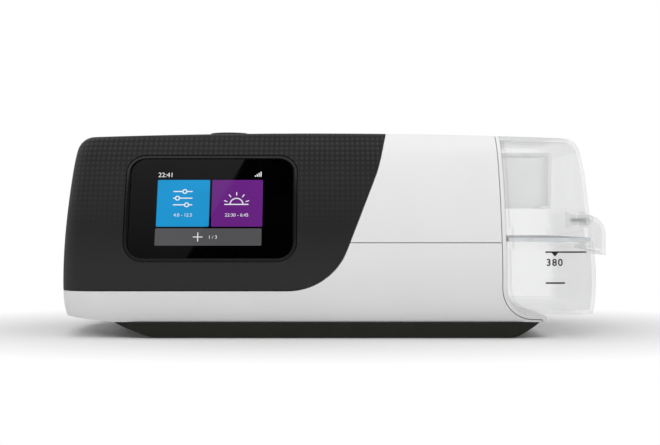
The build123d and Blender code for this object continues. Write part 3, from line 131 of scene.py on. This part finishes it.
class Shader(Tree):
    """A material on one Principled surface, with its patterns placed by the object's own axes."""

    def __init__(self, name):
        self.material = bpy.data.materials.new(name)
        super().__init__(self.material, "OutputMaterial")
        self.bsdf = self.node("BsdfPrincipled")
        self.give(self.bsdf.outputs[0], self.surface)
        self.place = self.node("TexCoord").outputs["Object"]

    def set(self, **values):
        """Gives inputs of the Principled surface by name."""
        for name, value in values.items():
            self.give(value, self.bsdf.inputs[name.replace("_", " ")])

    def axes(self, vector=None):
        """X, Y and Z of a vector, or of the place on the object."""
        return self.node("SeparateXYZ", Vector=vector or self.place).outputs

    def noise(self, size, detail=3.0, rough=0.5):
        """Noise whose blotches are about this size, in millimetres."""
        scale = 1.0 / (size * MM)
        made = self.node("TexNoise", Vector=self.place, Scale=scale, Detail=detail, Roughness=rough)
        return made.outputs["Fac"]

    def lattice(self, pitch, flat=None):
        """Distance to the nearest point of a regular grid, in space or on a flat vector."""
        vector = flat or self.place
        made = self.node("TexVoronoi", Vector=vector, Scale=1.0 / (pitch * MM), Randomness=0.0)
        made.voronoi_dimensions = "2D" if flat else "3D"
        return made.outputs["Distance"]

    def span(self, value, low, high, from_low=NOISE_LOW, from_high=NOISE_HIGH):
        """Maps a value from one range to another, and stops at its ends."""
        made = self.node("MapRange", From_Min=from_low, From_Max=from_high, To_Min=low, To_Max=high)
        self.give(value, made.inputs["Value"])
        return made.outputs["Result"]

    def mix(self, factor, first, second):
        """A blend of two colours, the second where the factor is 1."""
        made = self.node("Mix")
        made.data_type = "RGBA"
        for value, index in zip((factor, first, second), MIX_COLOURS_IN):
            self.give(value, made.inputs[index])
        return made.outputs[MIX_COLOURS_OUT]

    def drift(self, noise, colour, share):
        """The colour, down to this share of itself where the noise is low."""
        return self.mix(self.span(noise, 0.0, 1.0), shaded(colour, share), colour)

    def bump(self, height, depth, edge=0.0):
        """Raises the surface by up to this depth in millimetres, over edges rounded by this radius."""
        made = self.node("Bump", Distance=depth * MM, Height=height)
        if edge:
            soft = self.node("Bevel", Radius=edge * MM)
            soft.samples = 4
            self.give(soft.outputs[0], made.inputs["Normal"])
        self.set(Normal=made.outputs[0])


def linear(*shares):
    """An sRGB colour given in shares of 255, as the linear colour that nodes take."""
    found = []
    for share in shares:
        value = share / 255
        found.append(value / 12.92 if value <= 0.04045 else ((value + 0.055) / 1.055) ** 2.4)
    return tuple(found)


def shaded(colour, share):
    """The colour, made darker or lighter by this share."""
    return tuple(part * share for part in colour)


# ---------------------------------------------------------------- materials

BLACK = (0.0, 0.0, 0.0)
LIGHT = (1.0, 1.0, 1.0)


def plastic(name, colour, rough, grain=0.35, depth=0.012, edge=0.25, shift=0.05, specular=0.5):
    """Moulded plastic: a spark-eroded grain, faint clouding and uneven gloss.

    The grain's size, its depth and the radius of the edges are in millimetres, and shift is the
    share by which the clouds are darker.
    """
    shader = Shader(name)
    tone = shader.drift(shader.noise(22.0, 2.0), colour, 1 - shift)
    gloss = shader.span(shader.noise(9.0, 4.0), rough - 0.05, rough + 0.06)
    shader.set(Base_Color=tone, Roughness=gloss, Specular_IOR_Level=specular)
    shader.bump(shader.noise(grain, 2.0), depth, edge)
    return shader.material


# Heights in metres over which the fascia's colour changes, from low to high, with painted light at its
# foot and painted shade on its top
PAINTED_LIGHT_FADE = (0.026, 0.05)   # from its foot, lightened by painted light, to the plain middle
DOTS_BEGIN = (0.046, 0.07)
PAINTED_SHADE_FADE = (0.072, 0.09)    # from the middle to its top, darkened by painted shade
DOTS_END = (0.09, 0.0935)
# Painted light at the foot and painted shade on top, as shares of the colour
PAINTED_LIGHT_FOOT = 1.8
PAINTED_SHADE_TOP = 0.35
DOT_TONE = 1.5
DOT_EDGE = (0.22, 0.45)     # share of the pitch over which a dot's height falls away
END_ON = 0.7                # the normal's share of X from which a face belongs to the end


def raised_dots(shader, place, pitch):
    """Dots in level rows, counted along X on the front and along Y on the end."""
    facing = shader.axes(shader.node("NewGeometry").outputs["Normal"])
    on_end = shader.maths("GREATER_THAN", shader.maths("ABSOLUTE", facing["X"]), END_ON)
    to_depth = shader.maths("SUBTRACT", place["Y"], place["X"])
    along = shader.maths("ADD", place["X"], shader.maths("MULTIPLY", on_end, to_depth))
    flat = shader.node("CombineXYZ", X=along, Y=place["Z"]).outputs[0]
    dots = shader.span(shader.lattice(pitch, flat), 1.0, 0.0, *DOT_EDGE)
    over_middle = shader.span(place["Z"], 0.0, 1.0, *DOTS_BEGIN)
    under_top = shader.span(place["Z"], 1.0, 0.0, *DOTS_END)
    return shader.maths("MULTIPLY", dots, shader.maths("MULTIPLY", over_middle, under_top))


def dotted_plastic(name, colour, rough, pitch, depth):
    """Grained plastic with painted light at its foot and painted shade on top, dotted on its upper
    half.
    """
    shader = Shader(name)
    place = shader.axes()
    raised = raised_dots(shader, place, pitch)
    middle = shader.drift(shader.noise(26.0, 2.0), colour, 0.96)
    # Painted light lightens the foot and painted shade darkens the top
    past_painted_light = shader.span(place["Z"], 0.0, 1.0, *PAINTED_LIGHT_FADE)
    lower = shader.mix(past_painted_light, shaded(colour, PAINTED_LIGHT_FOOT), middle)
    into_painted_shade = shader.span(place["Z"], 0.0, 1.0, *PAINTED_SHADE_FADE)
    painted_light_and_shade = shader.mix(into_painted_shade, lower, shaded(colour, PAINTED_SHADE_TOP))
    tone = shader.mix(raised, painted_light_and_shade, shaded(colour, DOT_TONE))
    gloss = shader.span(shader.noise(12.0, 3.0), rough - 0.03, rough + 0.03)
    shader.set(Base_Color=tone, Roughness=gloss, Specular_IOR_Level=0.1)
    grain = shader.maths("MULTIPLY", shader.noise(0.3, 2.0), 0.3)
    shader.bump(shader.maths("ADD", raised, grain), depth, 0.3)
    return shader.material


STREAKS = 150.0             # scale of a metal's brushing before it is drawn out


def metal(name, colour, rough, brush=(1.0, 1.0, 30.0)):
    """Bare metal with fine streaks, which run across the axis where brush is largest."""
    shader = Shader(name)
    drawn_out = shader.node("Mapping", Vector=shader.place, Scale=brush).outputs[0]
    streak = shader.node("TexNoise", Vector=drawn_out, Scale=STREAKS, Detail=3.0).outputs["Fac"]
    tone = shader.drift(shader.noise(5.0), colour, 0.86)
    gloss = shader.span(streak, rough - 0.03, rough + 0.04)
    shader.set(Base_Color=tone, Roughness=gloss, Metallic=1.0)
    shader.bump(streak, 0.0005)
    return shader.material


def rubber(name, colour, rough, translucent=0.0):
    """Moulded silicone or rubber with a soft sheen and a fine matt grain."""
    shader = Shader(name)
    tone = shader.drift(shader.noise(4.0), colour, 0.88)
    gloss = shader.span(shader.noise(2.5, 4.0), rough - 0.08, rough + 0.08)
    shader.set(Base_Color=tone, Roughness=gloss, Subsurface_Weight=translucent, Sheen_Weight=0.15)
    shader.bump(shader.noise(0.25), 0.01, 0.15)
    return shader.material


WALL_BLEND = 0.3
WALL_POWER = 2.2            # how late a clear wall turns dense as it tilts away
WALL_EDGE = 0.5             # its density edge-on
RIM_SPAN = (0.72, 0.92)     # tilt over which the rim comes in, denser and with a painted shade line
RIM_DENSITY = 0.4
# Painted shade: the rim line's colour, as a share of the wall's
RIM_PAINTED_SHADE = 0.25
SHADOW_DENSITY = 0.2        # share of the density that counts for its shadow


def clear_plastic(name, colour, see_through, rough=0.08):
    """Clear polycarbonate: straight-through, denser where the wall is seen edge-on, with a painted
    shade line along that rim.
    """
    shader = Shader(name)
    tilt = shader.node("LayerWeight", Blend=WALL_BLEND).outputs["Facing"]
    solid = shader.span(shader.maths("POWER", tilt, WALL_POWER), 1.0 - see_through, WALL_EDGE, 0.0, 1.0)
    rim_density_and_painted_shade = shader.span(tilt, 0.0, 1.0, *RIM_SPAN)
    solid = shader.maths("ADD", solid, shader.maths("MULTIPLY", rim_density_and_painted_shade, RIM_DENSITY))
    shadow_ray = shader.node("LightPath").outputs["Is Shadow Ray"]
    solid = shader.maths("MULTIPLY", solid, shader.span(shadow_ray, 1.0, SHADOW_DENSITY, 0.0, 1.0))
    wall = shader.drift(shader.noise(16.0), colour, 0.97)
    # Painted shade: the rim is coloured darker where the wall is seen edge-on
    tone = shader.mix(rim_density_and_painted_shade, wall, shaded(colour, RIM_PAINTED_SHADE))
    gloss = shader.span(shader.noise(7.0, 4.0), rough - 0.03, rough + 0.05)
    shader.set(Base_Color=tone, Roughness=gloss, Alpha=solid, IOR=1.58, Specular_IOR_Level=0.9)
    shader.bump(shader.noise(12.0, 2.0), 0.05, 0.3)
    return shader.material


def glass_front(name):
    """The screen's cover glass, black from behind, with the faintest smears in its gloss."""
    shader = Shader(name)
    smear = shader.noise(18.0, 5.0, 0.6)
    tone = shader.drift(smear, (0.0006, 0.0006, 0.0008), 0.5)
    shader.set(Base_Color=tone, Roughness=shader.span(smear, 0.015, 0.05), IOR=1.5)
    shader.bump(shader.noise(30.0, 1.0), 0.02, 0.2)
    return shader.material


def felt(name, colour):
    """Pressed fibre of a filter pad."""
    shader = Shader(name)
    fibre = shader.noise(0.8, 6.0, 0.7)
    tone = shader.drift(fibre, colour, 0.75)
    shader.set(Base_Color=tone, Roughness=shader.span(fibre, 0.85, 1.0), Sheen_Weight=0.3)
    shader.bump(fibre, 0.3)
    return shader.material


PIXEL = 0.16                # pitch of the picture's grid, in millimetres


def picture_light(name, colour, grid=True):
    """A glossy part of the screen's picture, lit from behind through a fine grid of pixels."""
    shader = Shader(name)
    tone = shader.drift(shader.noise(24.0, 1.0), colour, 0.92)
    if grid:
        gaps = shader.span(shader.lattice(PIXEL), 1.0, 0.7, 0.2, 0.6)
        tone = shader.mix(gaps, shaded(colour, 0.6), tone)
    gloss = shader.span(shader.noise(18.0, 5.0, 0.6), 0.02, 0.06)
    shader.set(Base_Color=(0.004, 0.004, 0.004), Roughness=gloss)
    shader.set(Emission_Color=tone, Emission_Strength=1.0)
    shader.bump(shader.noise(30.0, 1.0), 0.02)
    return shader.material


MATERIALS = {
    "fascia_plastic": dotted_plastic("fascia_plastic", linear(36, 36, 36.5), 0.55, 2.3, 0.06),
    "white_plastic": plastic("white_plastic", linear(243, 243, 243), 0.38, shift=0.015),
    "base_plastic": plastic("base_plastic", linear(32, 33, 27), 0.55, 0.5, 0.03, specular=0.2),
    "surround_plastic": plastic("surround_plastic", linear(9, 9, 9.5), 0.3, 0.6, 0.002, specular=0.2),
    "screen_glass": glass_front("screen_glass"),
    "display": plastic("display", linear(30, 30, 33), 0.3, 0.6, 0.002),
    "clear_plastic": clear_plastic("clear_plastic", linear(250, 251, 252), 0.89),
    "button_plastic": plastic("button_plastic", linear(40, 40, 41), 0.42, specular=0.2),
    "grey_plastic": plastic("grey_plastic", linear(198, 200, 202), 0.42),
    "black_plastic": plastic("black_plastic", linear(34, 34, 35), 0.4),
    "board": plastic("board", linear(28, 84, 58), 0.35, 1.2, 0.02, 0.1),
    "steel": metal("steel", linear(206, 206, 208), 0.28),
    "brass": metal("brass", linear(214, 184, 120), 0.25),
    "aluminium": metal("aluminium", linear(216, 218, 220), 0.36, (8.0, 0.4, 1.0)),
    "silicone": rubber("silicone", linear(228, 230, 233), 0.5, 0.1),
    "foot_rubber": rubber("foot_rubber", linear(38, 38, 38), 0.7),
    "filter_pad": felt("filter_pad", linear(232, 233, 234)),
}

for subpart in frame["record"]["subparts"]:
    node = nodes[subpart["node"]]
    node.data.materials.clear()
    node.data.materials.append(MATERIALS[subpart["material_slot"]])


# ---------------------------------------------------------------- springs shown by copies


def shortened(name):
    """Shows a CAD spring by a copy of its mesh that rides on the machine."""
    spring = in_scene(name + "_spring", nodes[name].data.copy())
    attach(spring, "machine")
    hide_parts(name)
    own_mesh(spring)


shortened("heater_springs")
shortened("button_dome")


# ---------------------------------------------------------------- outlines, in millimetres

def round_about(x, y, radius, turn):
    """The point at this turn, in radians, on a circle about x, y."""
    return (x + radius * math.cos(turn), y + radius * math.sin(turn))


def rounded(middle_x, middle_y, width, height, radius, steps=5):
    """Outline of a rounded rectangle, anticlockwise."""
    points = []
    corners = ((1, 1, 0), (-1, 1, 90), (-1, -1, 180), (1, -1, 270))
    for side_x, side_y, start in corners:
        x = middle_x + side_x * (width / 2 - radius)
        y = middle_y + side_y * (height / 2 - radius)
        for step in range(steps + 1):
            points.append(round_about(x, y, radius, math.radians(start + 90 * step / steps)))
    return points


def stroke(x1, y1, x2, y2, width, steps=8):
    """Outline of a straight line with round ends."""
    angle = math.atan2(y2 - y1, x2 - x1)
    points = []
    for x, y, start in ((x2, y2, angle - math.pi / 2), (x1, y1, angle + math.pi / 2)):
        for step in range(steps + 1):
            points.append(round_about(x, y, width / 2, start + math.pi * step / steps))
    return points


def band(x, y, radius, width, start, end, steps=24):
    """Outlines of the short straight pieces that make up a bent line, between two turns in degrees."""
    outer = radius + width / 2
    inner = radius - width / 2
    pieces = []
    for step in range(steps):
        first = math.radians(start + (end - start) * step / steps)
        second = math.radians(start + (end - start) * (step + 1) / steps)
        corners = ((outer, first), (outer, second), (inner, second), (inner, first))
        pieces.append([round_about(x, y, reach, turn) for reach, turn in corners])
    return pieces


def divided(x1, x2, z_low, z_high, step):
    """Level strip cut into short lengths, so that it can bend round a corner."""
    count = max(1, round((x2 - x1) / step))
    strips = []
    for index in range(count):
        left = x1 + (x2 - x1) * index / count
        right = x1 + (x2 - x1) * (index + 1) / count
        strips.append([(left, z_low), (right, z_low), (right, z_high), (left, z_high)])
    return strips


# ---------------------------------------------------------------- pieces laid on the machine

FIGURE_TALL = 0.729         # height of the font's figures, as a share of its size


def plates(outlines, lift, place, thick=0.03):
    """Thin plates with these outlines, standing on the surface that place() gives."""
    made = bmesh.new()
    for outline in outlines:
        low = [made.verts.new(place(x, y, lift)) for x, y in outline]
        high = [made.verts.new(place(x, y, lift + thick)) for x, y in outline]
        made.faces.new(high)
        for index, corner in enumerate(low):
            after = (index + 1) % len(low)
            made.faces.new((corner, low[after], high[after], high[index]))
    bmesh.ops.triangulate(made, faces=[face for face in made.faces if len(face.verts) > 4])
    return made


def digits(words, size, x, y, lift, place, thick=0.02, align="LEFT", bold=0.0, spacing=1.0):
    """Plain figures, laid on the surface that place() gives, with their left end or middle at x, y."""
    curve = bpy.data.curves.new("figures", "FONT")
    curve.body = words
    curve.size = size / FIGURE_TALL
    curve.align_x = align
    curve.offset = bold
    curve.space_character = spacing
    shaped = bpy.data.objects.new("figures", curve)
    mesh = bpy.data.meshes.new_from_object(shaped)
    bpy.data.objects.remove(shaped)
    made = bmesh.new()
    made.from_mesh(mesh)
    bpy.data.meshes.remove(mesh)
    bmesh.ops.remove_doubles(made, verts=made.verts, dist=0.001)
    raised = bmesh.ops.extrude_face_region(made, geom=made.faces[:])
    top = {v for v in raised["geom"] if isinstance(v, bmesh.types.BMVert)}
    for vert in made.verts:
        height = lift + thick if vert in top else lift
        vert.co = place(x + vert.co.x, y + vert.co.y, height)
    return made


def join(made, *others):
    """Adds the other bmeshes to the first."""
    for other in others:
        mesh = bpy.data.meshes.new("joined")
        other.to_mesh(mesh)
        other.free()
        made.from_mesh(mesh)
        bpy.data.meshes.remove(mesh)
    return made


def finished(name, made, material, body):
    """Turns a bmesh into a piece that rides on a body."""
    bmesh.ops.recalc_face_normals(made, faces=made.faces)
    mesh = bpy.data.meshes.new(name)
    made.to_mesh(mesh)
    made.free()
    mesh.materials.append(material)
    piece = in_scene(name, mesh)
    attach(piece, body)


# ---------------------------------------------------------------- what the screen shows

# The middle of the cover glass's face, in millimetres, and its tilt, as in the CAD
SCREEN_ORIGIN = Vector((-56.4, -58.85, 57.8))
SCREEN_TILT = math.radians(20.5)
SCREEN_RIGHT = Vector((1.0, 0.0, 0.0))
SCREEN_UP = Vector((0.0, math.sin(SCREEN_TILT), math.cos(SCREEN_TILT)))
SCREEN_OUT = Vector((0.0, -math.cos(SCREEN_TILT), math.sin(SCREEN_TILT)))

# Two tiles over a low bar, placed from the glass's middle
TILE_LOW = -8.8
TILE_HIGH = 13.6
TILE_MIDDLE = (TILE_LOW + TILE_HIGH) / 2
TILE_TALL = TILE_HIGH - TILE_LOW
TILE_R = 0.5
BAR_MIDDLE = -13.7
BAR_TALL = 8.1
TILE_LIFT = 0.01            # over the glass
FIGURE_LIFT = 0.05
FIGURE_THICK = 0.01
TILES = (
    ("tile_left", "tile_blue", linear(8, 154, 217), -12.65, TILE_MIDDLE, 23.5, TILE_TALL),
    ("tile_right", "tile_purple", linear(108, 34, 134), 11.5, TILE_MIDDLE, 22.8, TILE_TALL),
    ("tile_low", "tile_grey", linear(86, 86, 89), -1.0, BAR_MIDDLE, 47.3, BAR_TALL),
)

# Symbols
LINE = 0.5                  # width of most lines
FINE_LINE = 0.4
RAY_LINE = 0.45
SLIDER_LEFT = -17.0
SLIDER_RIGHT = -8.8
SLIDERS = ((8.0, -12.1), (4.8, -15.3), (1.6, -11.1))    # height of each line and place of its knob
KNOB_R = 0.9
KNOB_GAP = 0.95             # from a knob's middle to its line's end
SUN_X = 11.2
SUN_UP = 1.8
SUN_R = 2.9
HORIZON = 5.2               # half of its length
RAYS = 5
RAY_FROM = 4.5
RAY_TO = 5.7
PLUS_X = -5.6
PLUS_HALF = 2.0
SIGNAL_BARS = 4
SIGNAL_LEFT = 19.4
SIGNAL_LOW = 15.2
SIGNAL_PITCH = 0.85
SIGNAL_WIDTH = 0.5
SIGNAL_STEP = 0.6           # each bar is this much taller than the one before

# Figures
CLOCK_TALL = 2.3
CLOCK_LEFT = -24.4
CLOCK_UP = 15.0
RANGE_TALL = 1.6
RANGE_UP = -4.0
PRESSURE_X = -12.6
NIGHT_X = 11.4
PAGE_LEFT = -1.0


def on_glass(right, up, lift):
    """A point on the screen, from its middle, with its height over the glass."""
    return (SCREEN_ORIGIN + SCREEN_RIGHT * right + SCREEN_UP * up + SCREEN_OUT * lift) * MM


def sliders():
    """Three level lines, each with a round knob."""
    outlines = []
    for up, knob in SLIDERS:
        outlines.append(stroke(SLIDER_LEFT, up, knob - KNOB_GAP, up, LINE))
        outlines.append(stroke(knob + KNOB_GAP, up, SLIDER_RIGHT, up, LINE))
        outlines += band(knob, up, KNOB_R, LINE, 0, 360, 20)
    return outlines


def rising_sun():
    """Half a sun on the horizon, with its rays."""
    outlines = [stroke(SUN_X - HORIZON, SUN_UP, SUN_X + HORIZON, SUN_UP, LINE)]
    outlines += band(SUN_X, SUN_UP, SUN_R, LINE, 4, 176)
    for ray in range(RAYS):
        turn = math.pi * (ray + 0.5) / RAYS
        near = round_about(SUN_X, SUN_UP, RAY_FROM, turn)
        far = round_about(SUN_X, SUN_UP, RAY_TO, turn)
        outlines.append(stroke(*near, *far, RAY_LINE))
    return outlines


def plus_sign():
    """A plus sign on the low bar."""
    return [
        stroke(PLUS_X - PLUS_HALF, BAR_MIDDLE, PLUS_X + PLUS_HALF, BAR_MIDDLE, FINE_LINE),
        stroke(PLUS_X, BAR_MIDDLE - PLUS_HALF, PLUS_X, BAR_MIDDLE + PLUS_HALF, FINE_LINE),
    ]


def signal_bars():
    """Bars that grow to the right."""
    outlines = []
    for bar in range(SIGNAL_BARS):
        tall = SIGNAL_STEP * (bar + 1)
        x = SIGNAL_LEFT + SIGNAL_PITCH * bar
        outlines.append(rounded(x, SIGNAL_LOW + tall / 2, SIGNAL_WIDTH, tall, 0.1, 2))
    return outlines


def screen_digits(words, tall, x, up, align="LEFT"):
    """Lit figures on the screen."""
    return digits(words, tall, x, up, FIGURE_LIFT, on_glass, FIGURE_THICK, align)


for name, light, colour, x, y, width, height in TILES:
    tile = plates([rounded(x, y, width, height, TILE_R)], TILE_LIFT, on_glass)
    finished(name, tile, picture_light(light, colour), "machine")

symbols = sliders() + rising_sun() + plus_sign() + signal_bars()
figures = join(
    plates(symbols, FIGURE_LIFT, on_glass, FIGURE_THICK),
    screen_digits("22:41", CLOCK_TALL, CLOCK_LEFT, CLOCK_UP),
    screen_digits("4.0 - 12.5", RANGE_TALL, PRESSURE_X, RANGE_UP, "CENTER"),
    screen_digits("22:30 - 6:45", RANGE_TALL, NIGHT_X, RANGE_UP, "CENTER"),
    screen_digits("1 / 3", RANGE_TALL, PAGE_LEFT, BAR_MIDDLE - RANGE_TALL / 2),
)
FIGURE_LIGHT = picture_light("figures_white", linear(240, 242, 245), grid=False)
finished("screen_figures", figures, FIGURE_LIGHT, "machine")


# ---------------------------------------------------------------- level marks on the tub

MARK_LEFT = 91.45
MARK_STEP = 1.5             # length of the strips that a line is laid in
UPPER_RIGHT = 109.95
UPPER_LOW = 38.05
UPPER_HIGH = 38.7
LOWER_RIGHT = 99.85
LOWER_LOW = 24.45
LOWER_HIGH = 25.15
POINTER = ((94.15, 38.15), (95.65, 36.4), (97.15, 38.15))    # triangle under the upper line
NUMBER_TALL = 3.1
NUMBER_LEFT = 91.75
NUMBER_LOW = 32.4
INK_LIFT = 0.01
BEFORE_TUB = -0.2           # rays at the tub's front start here, in metres


def surface_of(name):
    """The faces of this node, to lay a print on."""
    made = bmesh.new()
    made.from_mesh(nodes[name].data)
    found = BVHTree.FromBMesh(made)
    made.free()
    return found


tub_front = surface_of("tub_base")


def on_tub(x, z, lift):
    """A point on the tub's front face, by its X and Z."""
    start = Vector((x * MM, BEFORE_TUB, z * MM))
    hit, normal, _, _ = tub_front.ray_cast(start, Vector((0.0, 1.0, 0.0)))
    return hit + normal * lift * MM


INK = plastic("level_ink", linear(28, 29, 31), 0.5, 0.3, 0.002, 0.0, specular=0.2)
marks = divided(MARK_LEFT, UPPER_RIGHT, UPPER_LOW, UPPER_HIGH, MARK_STEP)
marks += divided(MARK_LEFT, LOWER_RIGHT, LOWER_LOW, LOWER_HIGH, MARK_STEP)
marks.append(POINTER)
number = digits("380", NUMBER_TALL, NUMBER_LEFT, NUMBER_LOW, INK_LIFT, on_tub, bold=0.09, spacing=1.2)
level_print = join(plates(marks, INK_LIFT, on_tub, 0.02), number)
finished("level_marks", level_print, INK, "tub")


# ---------------------------------------------------------------- start button's sign

BUTTON_TOP = Vector((-51.65, -12.0, 94.2))    # middle of the cap's top in the CAD, in millimetres
SIGN_R = 2.4                # a ring, open at the back, with a short line in the opening
SIGN_RING = (125, 415)      # the ring's two ends, in degrees
SIGN_STEM = (0.9, 3.0)      # the line's two ends
SIGN_LINE = 0.5


def on_button(x, y, lift):
    """A point over the start button's top, from its middle."""
    return (BUTTON_TOP + Vector((x, y, lift))) * MM


SIGN = plastic("button_sign", linear(206, 208, 210), 0.45, 0.3, 0.002, 0.0)
sign = band(0.0, 0.0, SIGN_R, SIGN_LINE, *SIGN_RING, 28)
sign.append(stroke(0.0, SIGN_STEM[0], 0.0, SIGN_STEM[1], SIGN_LINE))
finished("start_sign", plates(sign, 0.01, on_button), SIGN, "button")


# ---------------------------------------------------------------- studio light

LIGHT_AIM = Vector((0.0, 0.0, 0.05))
WORLD_STRENGTH = 0.54


def area_light(name, place, width, depth, power):
    """A soft rectangular light that faces the machine."""
    data = bpy.data.lights.new(name, "AREA")
    data.shape = "RECTANGLE"
    data.size = width
    data.size_y = depth
    data.energy = power
    lamp = in_scene(name, data)
    lamp.location = place
    lamp.rotation_euler = (LIGHT_AIM - Vector(place)).to_track_quat("-Z", "Y").to_euler()


def studio_world():
    """Even light all round, which the camera, gloss and clear pieces see as white."""
    world = bpy.data.worlds.new("studio")
    studio = Tree(world, "OutputWorld")
    rays = studio.node("LightPath").outputs
    shown = studio.maths("MAXIMUM", rays["Is Camera Ray"], rays["Is Glossy Ray"])
    shown = studio.maths("MAXIMUM", shown, rays["Is Transmission Ray"])
    even = studio.node("Background", Color=LIGHT, Strength=WORLD_STRENGTH).outputs[0]
    white = studio.node("Background", Color=LIGHT, Strength=1.0).outputs[0]
    choose = studio.node("MixShader")
    for source, socket in zip((shown, even, white), choose.inputs):
        studio.give(source, socket)
    studio.give(choose.outputs[0], studio.surface)
    return world


area_light("key", (-0.35, -0.9, 1.25), 0.9, 0.7, 5.0)
area_light("fill", (0.9, -0.7, 0.7), 0.8, 0.8, 1.4)
area_light("top", (0.0, 0.1, 1.4), 1.2, 0.9, 3.4)
bpy.context.scene.world = studio_world()


# ---------------------------------------------------------------- floor

FLOOR_HALF = 6.0
FLOOR_FADE = (0.085, 0.175)     # distance, in metres, over which it turns into plain white
FLOOR_OVAL = (0.7, 1.0, 1.0)    # X counts less in that distance, so the fade is an oval
FLOOR_NEAR = 0.03               # share of white that it adds by itself near the machine


def quad(name, corners, material):
    """One flat face of the studio."""
    mesh = bpy.data.meshes.new(name)
    mesh.from_pydata(corners, [], [(0, 1, 2, 3)])
    mesh.materials.append(material)
    return in_scene(name, mesh)


def floor_material():
    """Pale matt floor that keeps the machine's shadow and turns white further out."""
    shader = Shader("floor")
    cloud = shader.span(shader.noise(300.0), 0.0, 1.0)
    tone = shader.mix(cloud, linear(230, 230, 230), linear(233, 233, 233))
    oval = shader.node("Mapping", Vector=shader.place, Scale=FLOOR_OVAL).outputs[0]
    away = shader.node("VectorMath", Vector=oval)
    away.operation = "LENGTH"
    far = shader.span(away.outputs["Value"], FLOOR_NEAR, 1.0, *FLOOR_FADE)
    glow = shader.maths("MULTIPLY", far, shader.node("LightPath").outputs["Is Camera Ray"])
    shader.set(Base_Color=shader.mix(glow, tone, BLACK), Roughness=0.6, Specular_IOR_Level=0.0)
    shader.set(Emission_Color=LIGHT, Emission_Strength=glow)
    return shader.material


FLOOR_CORNERS = [
    (side_x * FLOOR_HALF, side_y * FLOOR_HALF, 0.0)
    for side_x, side_y in ((-1, -1), (1, -1), (1, 1), (-1, 1))
]
floor = quad("floor", FLOOR_CORNERS, floor_material())


# ---------------------------------------------------------------- cards that the gloss shows

# A pale card and a black one hang side by side over the camera, and only gloss shows them.
# They share one plane, in millimetres, and meet on a slanting line through two points of it.
CARD_MIDDLE = Vector((-97.9, -394.3, 354.8))
CARD_RIGHT = Vector((0.996, -0.0666, 0.059))
CARD_UP = Vector((0.0, 0.6635, 0.7482))
CARD_HALF = 120.0
CARD_EDGE = ((30.2, 41.9), (-18.0, -40.6))
CARD_HEIGHTS = (0.318, 0.39)    # in metres, from its dim lower part to its bright upper part
CARD_DIM = 0.12
CARD_BRIGHT = 0.4


def card(name, corners, material):
    """One card, unseen by everything but gloss."""
    hung = quad(name, [(CARD_MIDDLE + CARD_RIGHT * x + CARD_UP * y) * MM for x, y in corners], material)
    hung.visible_camera = False
    hung.visible_diffuse = False
    hung.visible_transmission = False
    hung.visible_shadow = False


def card_material(name, dim, bright):
    """Light that grows with the height."""
    shader = Shader(name)
    glow = shader.span(shader.axes()["Z"], dim, bright, *CARD_HEIGHTS)
    shader.set(Base_Color=BLACK, Specular_IOR_Level=0.0)
    shader.set(Emission_Color=LIGHT, Emission_Strength=glow)
    return shader.material


def edge_at(y):
    """X of the line between the cards, at this height on them."""
    (high_x, high_y), (low_x, low_y) = CARD_EDGE
    return low_x + (high_x - low_x) / (high_y - low_y) * (y - low_y)


UP_MIDDLE = (edge_at(CARD_HALF), CARD_HALF)
LOW_MIDDLE = (edge_at(-CARD_HALF), -CARD_HALF)
card("card_pale", ((-CARD_HALF, CARD_HALF), UP_MIDDLE, LOW_MIDDLE, (-CARD_HALF, -CARD_HALF)),
     card_material("card_pale", CARD_DIM, CARD_BRIGHT))
card("card_black", (UP_MIDDLE, (CARD_HALF, CARD_HALF), (CARD_HALF, -CARD_HALF), LOW_MIDDLE),
     card_material("card_black", 0.0, 0.0))
